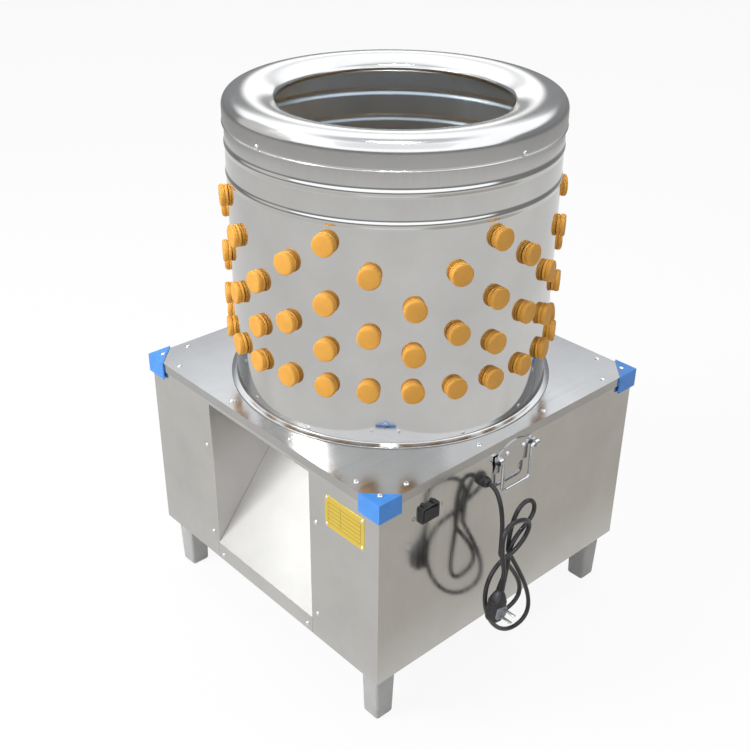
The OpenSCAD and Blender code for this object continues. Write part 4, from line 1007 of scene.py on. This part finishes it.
def lamp(name, place, size, power, glossy=True):
    """A square lamp; reflections see it only if it is glossy."""
    data = bpy.data.lights.new(name, "AREA")
    data.size = size
    data.energy = power
    obj = bpy.data.objects.new(name, data)
    bpy.context.scene.collection.objects.link(obj)
    obj.visible_glossy = glossy
    aimed(obj, place, LAMP_TARGET)


def inside_lamp():
    """A soft spot from above that lights the barrel's inside through the mouth."""
    data = bpy.data.lights.new("inside", "SPOT")
    data.energy = 340
    data.color = (0.86, 0.95, 1.0)
    data.shadow_soft_size = 0.25
    data.spot_size = math.radians(12)
    data.spot_blend = 0.5
    obj = bpy.data.objects.new("inside", data)
    bpy.context.scene.collection.objects.link(obj)
    aimed(obj, (0.25, -0.25, 2.7), (0, 0, 0.86))


def glow_card(name, verts, faces):
    """A studio card that shows only in reflections: its object, node tree and glow."""
    material, tree = bare_material(name)
    glow = tree.nodes.new("ShaderNodeEmission")
    obj = mesh_object(name, verts, faces)
    obj.data.materials.append(material)
    obj.visible_camera = False
    obj.visible_diffuse = False
    obj.visible_shadow = False
    return obj, tree, glow


def own_place(tree):
    """The card's own coordinates in metres."""
    return tree.nodes.new("ShaderNodeTexCoord").outputs["Object"]


def fade_card(tree, glow, share):
    """Lets the card melt into what is behind it where the share falls to 0."""
    clear = tree.nodes.new("ShaderNodeBsdfTransparent")
    mixed(tree, share, clear.outputs["BSDF"], glow.outputs["Emission"])


def card(name, place, target, size, soft, colour, strength=1.0):
    """A flat card with soft edges, facing a target."""
    w, h = (side / 2 for side in size)
    obj, tree, glow = glow_card(name, *rectangle(*size))
    aimed(obj, place, target)
    glow.inputs["Color"].default_value = (*colour, 1)
    glow.inputs["Strength"].default_value = strength
    split = tree.nodes.new("ShaderNodeSeparateXYZ")
    tree.links.new(own_place(tree), split.inputs["Vector"])
    across = eased(tree, maths(tree, "ABSOLUTE", split.outputs["X"]), w, w - soft)
    along = eased(tree, maths(tree, "ABSOLUTE", split.outputs["Y"]), h, h - soft)
    fade_card(tree, glow, maths(tree, "MULTIPLY", across, along))


# Grey of the ground that reflections show, by distance
GROUND = ((0.95, 0.68), (1.15, 0.8), (1.6, 0.84), (1.9, 0.8), (2.4, 0.78), (2.52, 0.74), (2.67, 0.68),
          (2.75, 0.44), (3.1, 0.4), (4.0, 0.34), (6.0, 0.27))
HORIZON_H = 1.2
CARD_SEGMENTS = 96


def make_ground():
    """Ground that darkens with distance, up to a low dark horizon all round."""
    near = GROUND[0][0]
    far = GROUND[-1][0]
    profile = [(near / MM, 0.5), (far / MM, 0.5), (far / MM, HORIZON_H / MM)]
    verts, faces = revolved(profile, CARD_SEGMENTS)
    _, tree, glow = glow_card("card_ground", verts, faces)
    length = tree.nodes.new("ShaderNodeVectorMath")
    length.operation = "LENGTH"
    tree.links.new(own_place(tree), length.inputs[0])
    reach = tree.nodes.new("ShaderNodeMapRange")
    reach.inputs["From Min"].default_value = near
    reach.inputs["From Max"].default_value = far
    tree.links.new(length.outputs["Value"], reach.inputs["Value"])
    ramp = tree.nodes.new("ShaderNodeValToRGB")
    stops = ramp.color_ramp.elements
    stops.remove(stops[1])
    stops[0].color = (*[GROUND[0][1]] * 3, 1)
    for distance, grey in GROUND[1:]:
        stops.new((distance - near) / (far - near)).color = (grey, grey, grey, 1)
    tree.links.new(reach.outputs["Result"], ramp.inputs["Fac"])
    tree.links.new(ramp.outputs["Color"], glow.inputs["Color"])
    split = tree.nodes.new("ShaderNodeSeparateXYZ")
    tree.links.new(own_place(tree), split.inputs["Vector"])
    fade_card(tree, glow, eased(tree, split.outputs["Z"], HORIZON_H, 0.7 * HORIZON_H))


# Sky that reflections show, from the rim's height: dark up to an edge that stands highest behind the machine
SKY_R = 8.0
SKY_COLOUR = (0.93, 0.955, 1.0)
SKY_LEVELS = (0.33, 1.8)
SKY_DARK_WAY = (-0.539, 0.842, 0)
SKY_TURN = (-0.3, 0.25)
SKY_EDGE = (0.0, 0.42)
SKY_SOFT = 0.09
ZENITH = (0.84, 0.96)
ZENITH_LEVEL = 0.45


def make_sky():
    """Dome that is bright overhead and in front, and dark low down behind the machine."""
    verts, faces = revolved(arc((0, 0), SKY_R / MM, 0, 89.9, 24), CARD_SEGMENTS)
    _, tree, glow = glow_card("card_sky", verts, faces)
    glow.inputs["Color"].default_value = (*SKY_COLOUR, 1)
    out = tree.nodes.new("ShaderNodeVectorMath")
    out.operation = "SUBTRACT"
    out.inputs[1].default_value = RIM_EYE
    tree.links.new(own_place(tree), out.inputs[0])
    way = tree.nodes.new("ShaderNodeVectorMath")
    way.operation = "NORMALIZE"
    tree.links.new(out.outputs["Vector"], way.inputs[0])
    split = tree.nodes.new("ShaderNodeSeparateXYZ")
    tree.links.new(way.outputs["Vector"], split.inputs["Vector"])
    turn = tree.nodes.new("ShaderNodeVectorMath")
    turn.operation = "DOT_PRODUCT"
    turn.inputs[1].default_value = SKY_DARK_WAY
    tree.links.new(way.outputs["Vector"], turn.inputs[0])
    edge = mapped(tree, eased(tree, turn.outputs["Value"], *SKY_TURN), *SKY_EDGE)
    share = eased(tree, maths(tree, "SUBTRACT", split.outputs["Z"], edge), -SKY_SOFT, SKY_SOFT)
    zenith = mapped(tree, eased(tree, split.outputs["Z"], *ZENITH), 1, ZENITH_LEVEL)
    level = maths(tree, "MULTIPLY", mapped(tree, share, *SKY_LEVELS), zenith)
    tree.links.new(level, glow.inputs["Strength"])
    tree.links.new(glow.outputs["Emission"], tree.nodes["Material Output"].inputs["Surface"])


def make_lights():
    lamp("key", (-1.1, -2.7, 2.57), 1.4, 108)
    lamp("top", (-0.4, 0.6, 3.2), 2.0, 40, glossy=False)
    lamp("fill", (2.3, -2.2, 1.5), 2.0, 12, glossy=False)
    inside_lamp()
    card("card_back", (-2.74, 2.5, 1.95), RIM_EYE, (1.6, 1.1), 0.3, (1, 1, 1), 1.8)
    card("card_front_sky", (1.9, -1.8, 3.3), RIM_EYE, (4.8, 2.9), 0.4, SKY_COLOUR, 1.35)
    card("card_slope", (-1.95, -2.05, 1.65), (0, -0.17, 0.27), (3.2, 2.8), 0.4, (1, 1, 1), 0.8)
    card("card_side", (0.76, 0.3, 0.001), (0.76, 0.3, 1), (1.1, 1.5), 0.25, (0.57, 0.547, 0.506))
    card("card_front", (-0.4, -0.75, 0.001), (-0.4, -0.75, 1), (1.7, 1.1), 0.2, (0.76, 0.75, 0.73))


# Camera fitted to the photograph

CAMERA_AZ = 47.5408
CAMERA_EL = 29.5382
CAMERA_ROLL = 0.5369
CAMERA_DIST = 1923.85
CAMERA_TARGET = Vector((-81.70, 40.69, plate_z - 74.0))
FOCAL_PX = 1094.763
FRAME_PX = 750
SENSOR = 36


def make_camera():
    az, el, roll = (math.radians(a) for a in (CAMERA_AZ, CAMERA_EL, CAMERA_ROLL))
    back = Vector((math.sin(az) * math.cos(el), -math.cos(az) * math.cos(el), math.sin(el)))
    right = Vector((math.cos(az), math.sin(az), 0))
    up = back.cross(right)
    tilted_right = math.cos(roll) * right + math.sin(roll) * up
    tilted_up = math.cos(roll) * up - math.sin(roll) * right
    data = bpy.data.cameras.new("camera")
    data.sensor_width = SENSOR
    data.lens = FOCAL_PX * SENSOR / FRAME_PX
    data.clip_end = 100
    obj = bpy.data.objects.new("camera", data)
    bpy.context.scene.collection.objects.link(obj)
    pose = Matrix((tilted_right, tilted_up, back)).transposed().to_4x4()
    pose.translation = (CAMERA_TARGET + CAMERA_DIST * back) * MM
    obj.matrix_world = pose
    bpy.context.scene.camera = obj


make_camera()
dress_nodes()
gland = make_gland()
make_cord(make_plug() + [gland])
make_barrel()
make_rim()
make_barrel_fingers()
make_disc_fingers()
make_legs()
make_switch()
make_bails()
make_label_rules()
make_switch_marks()
make_floor()
make_world()
make_ground()
make_sky()
make_lights()

bpy.context.scene.view_settings.view_transform = "Standard"
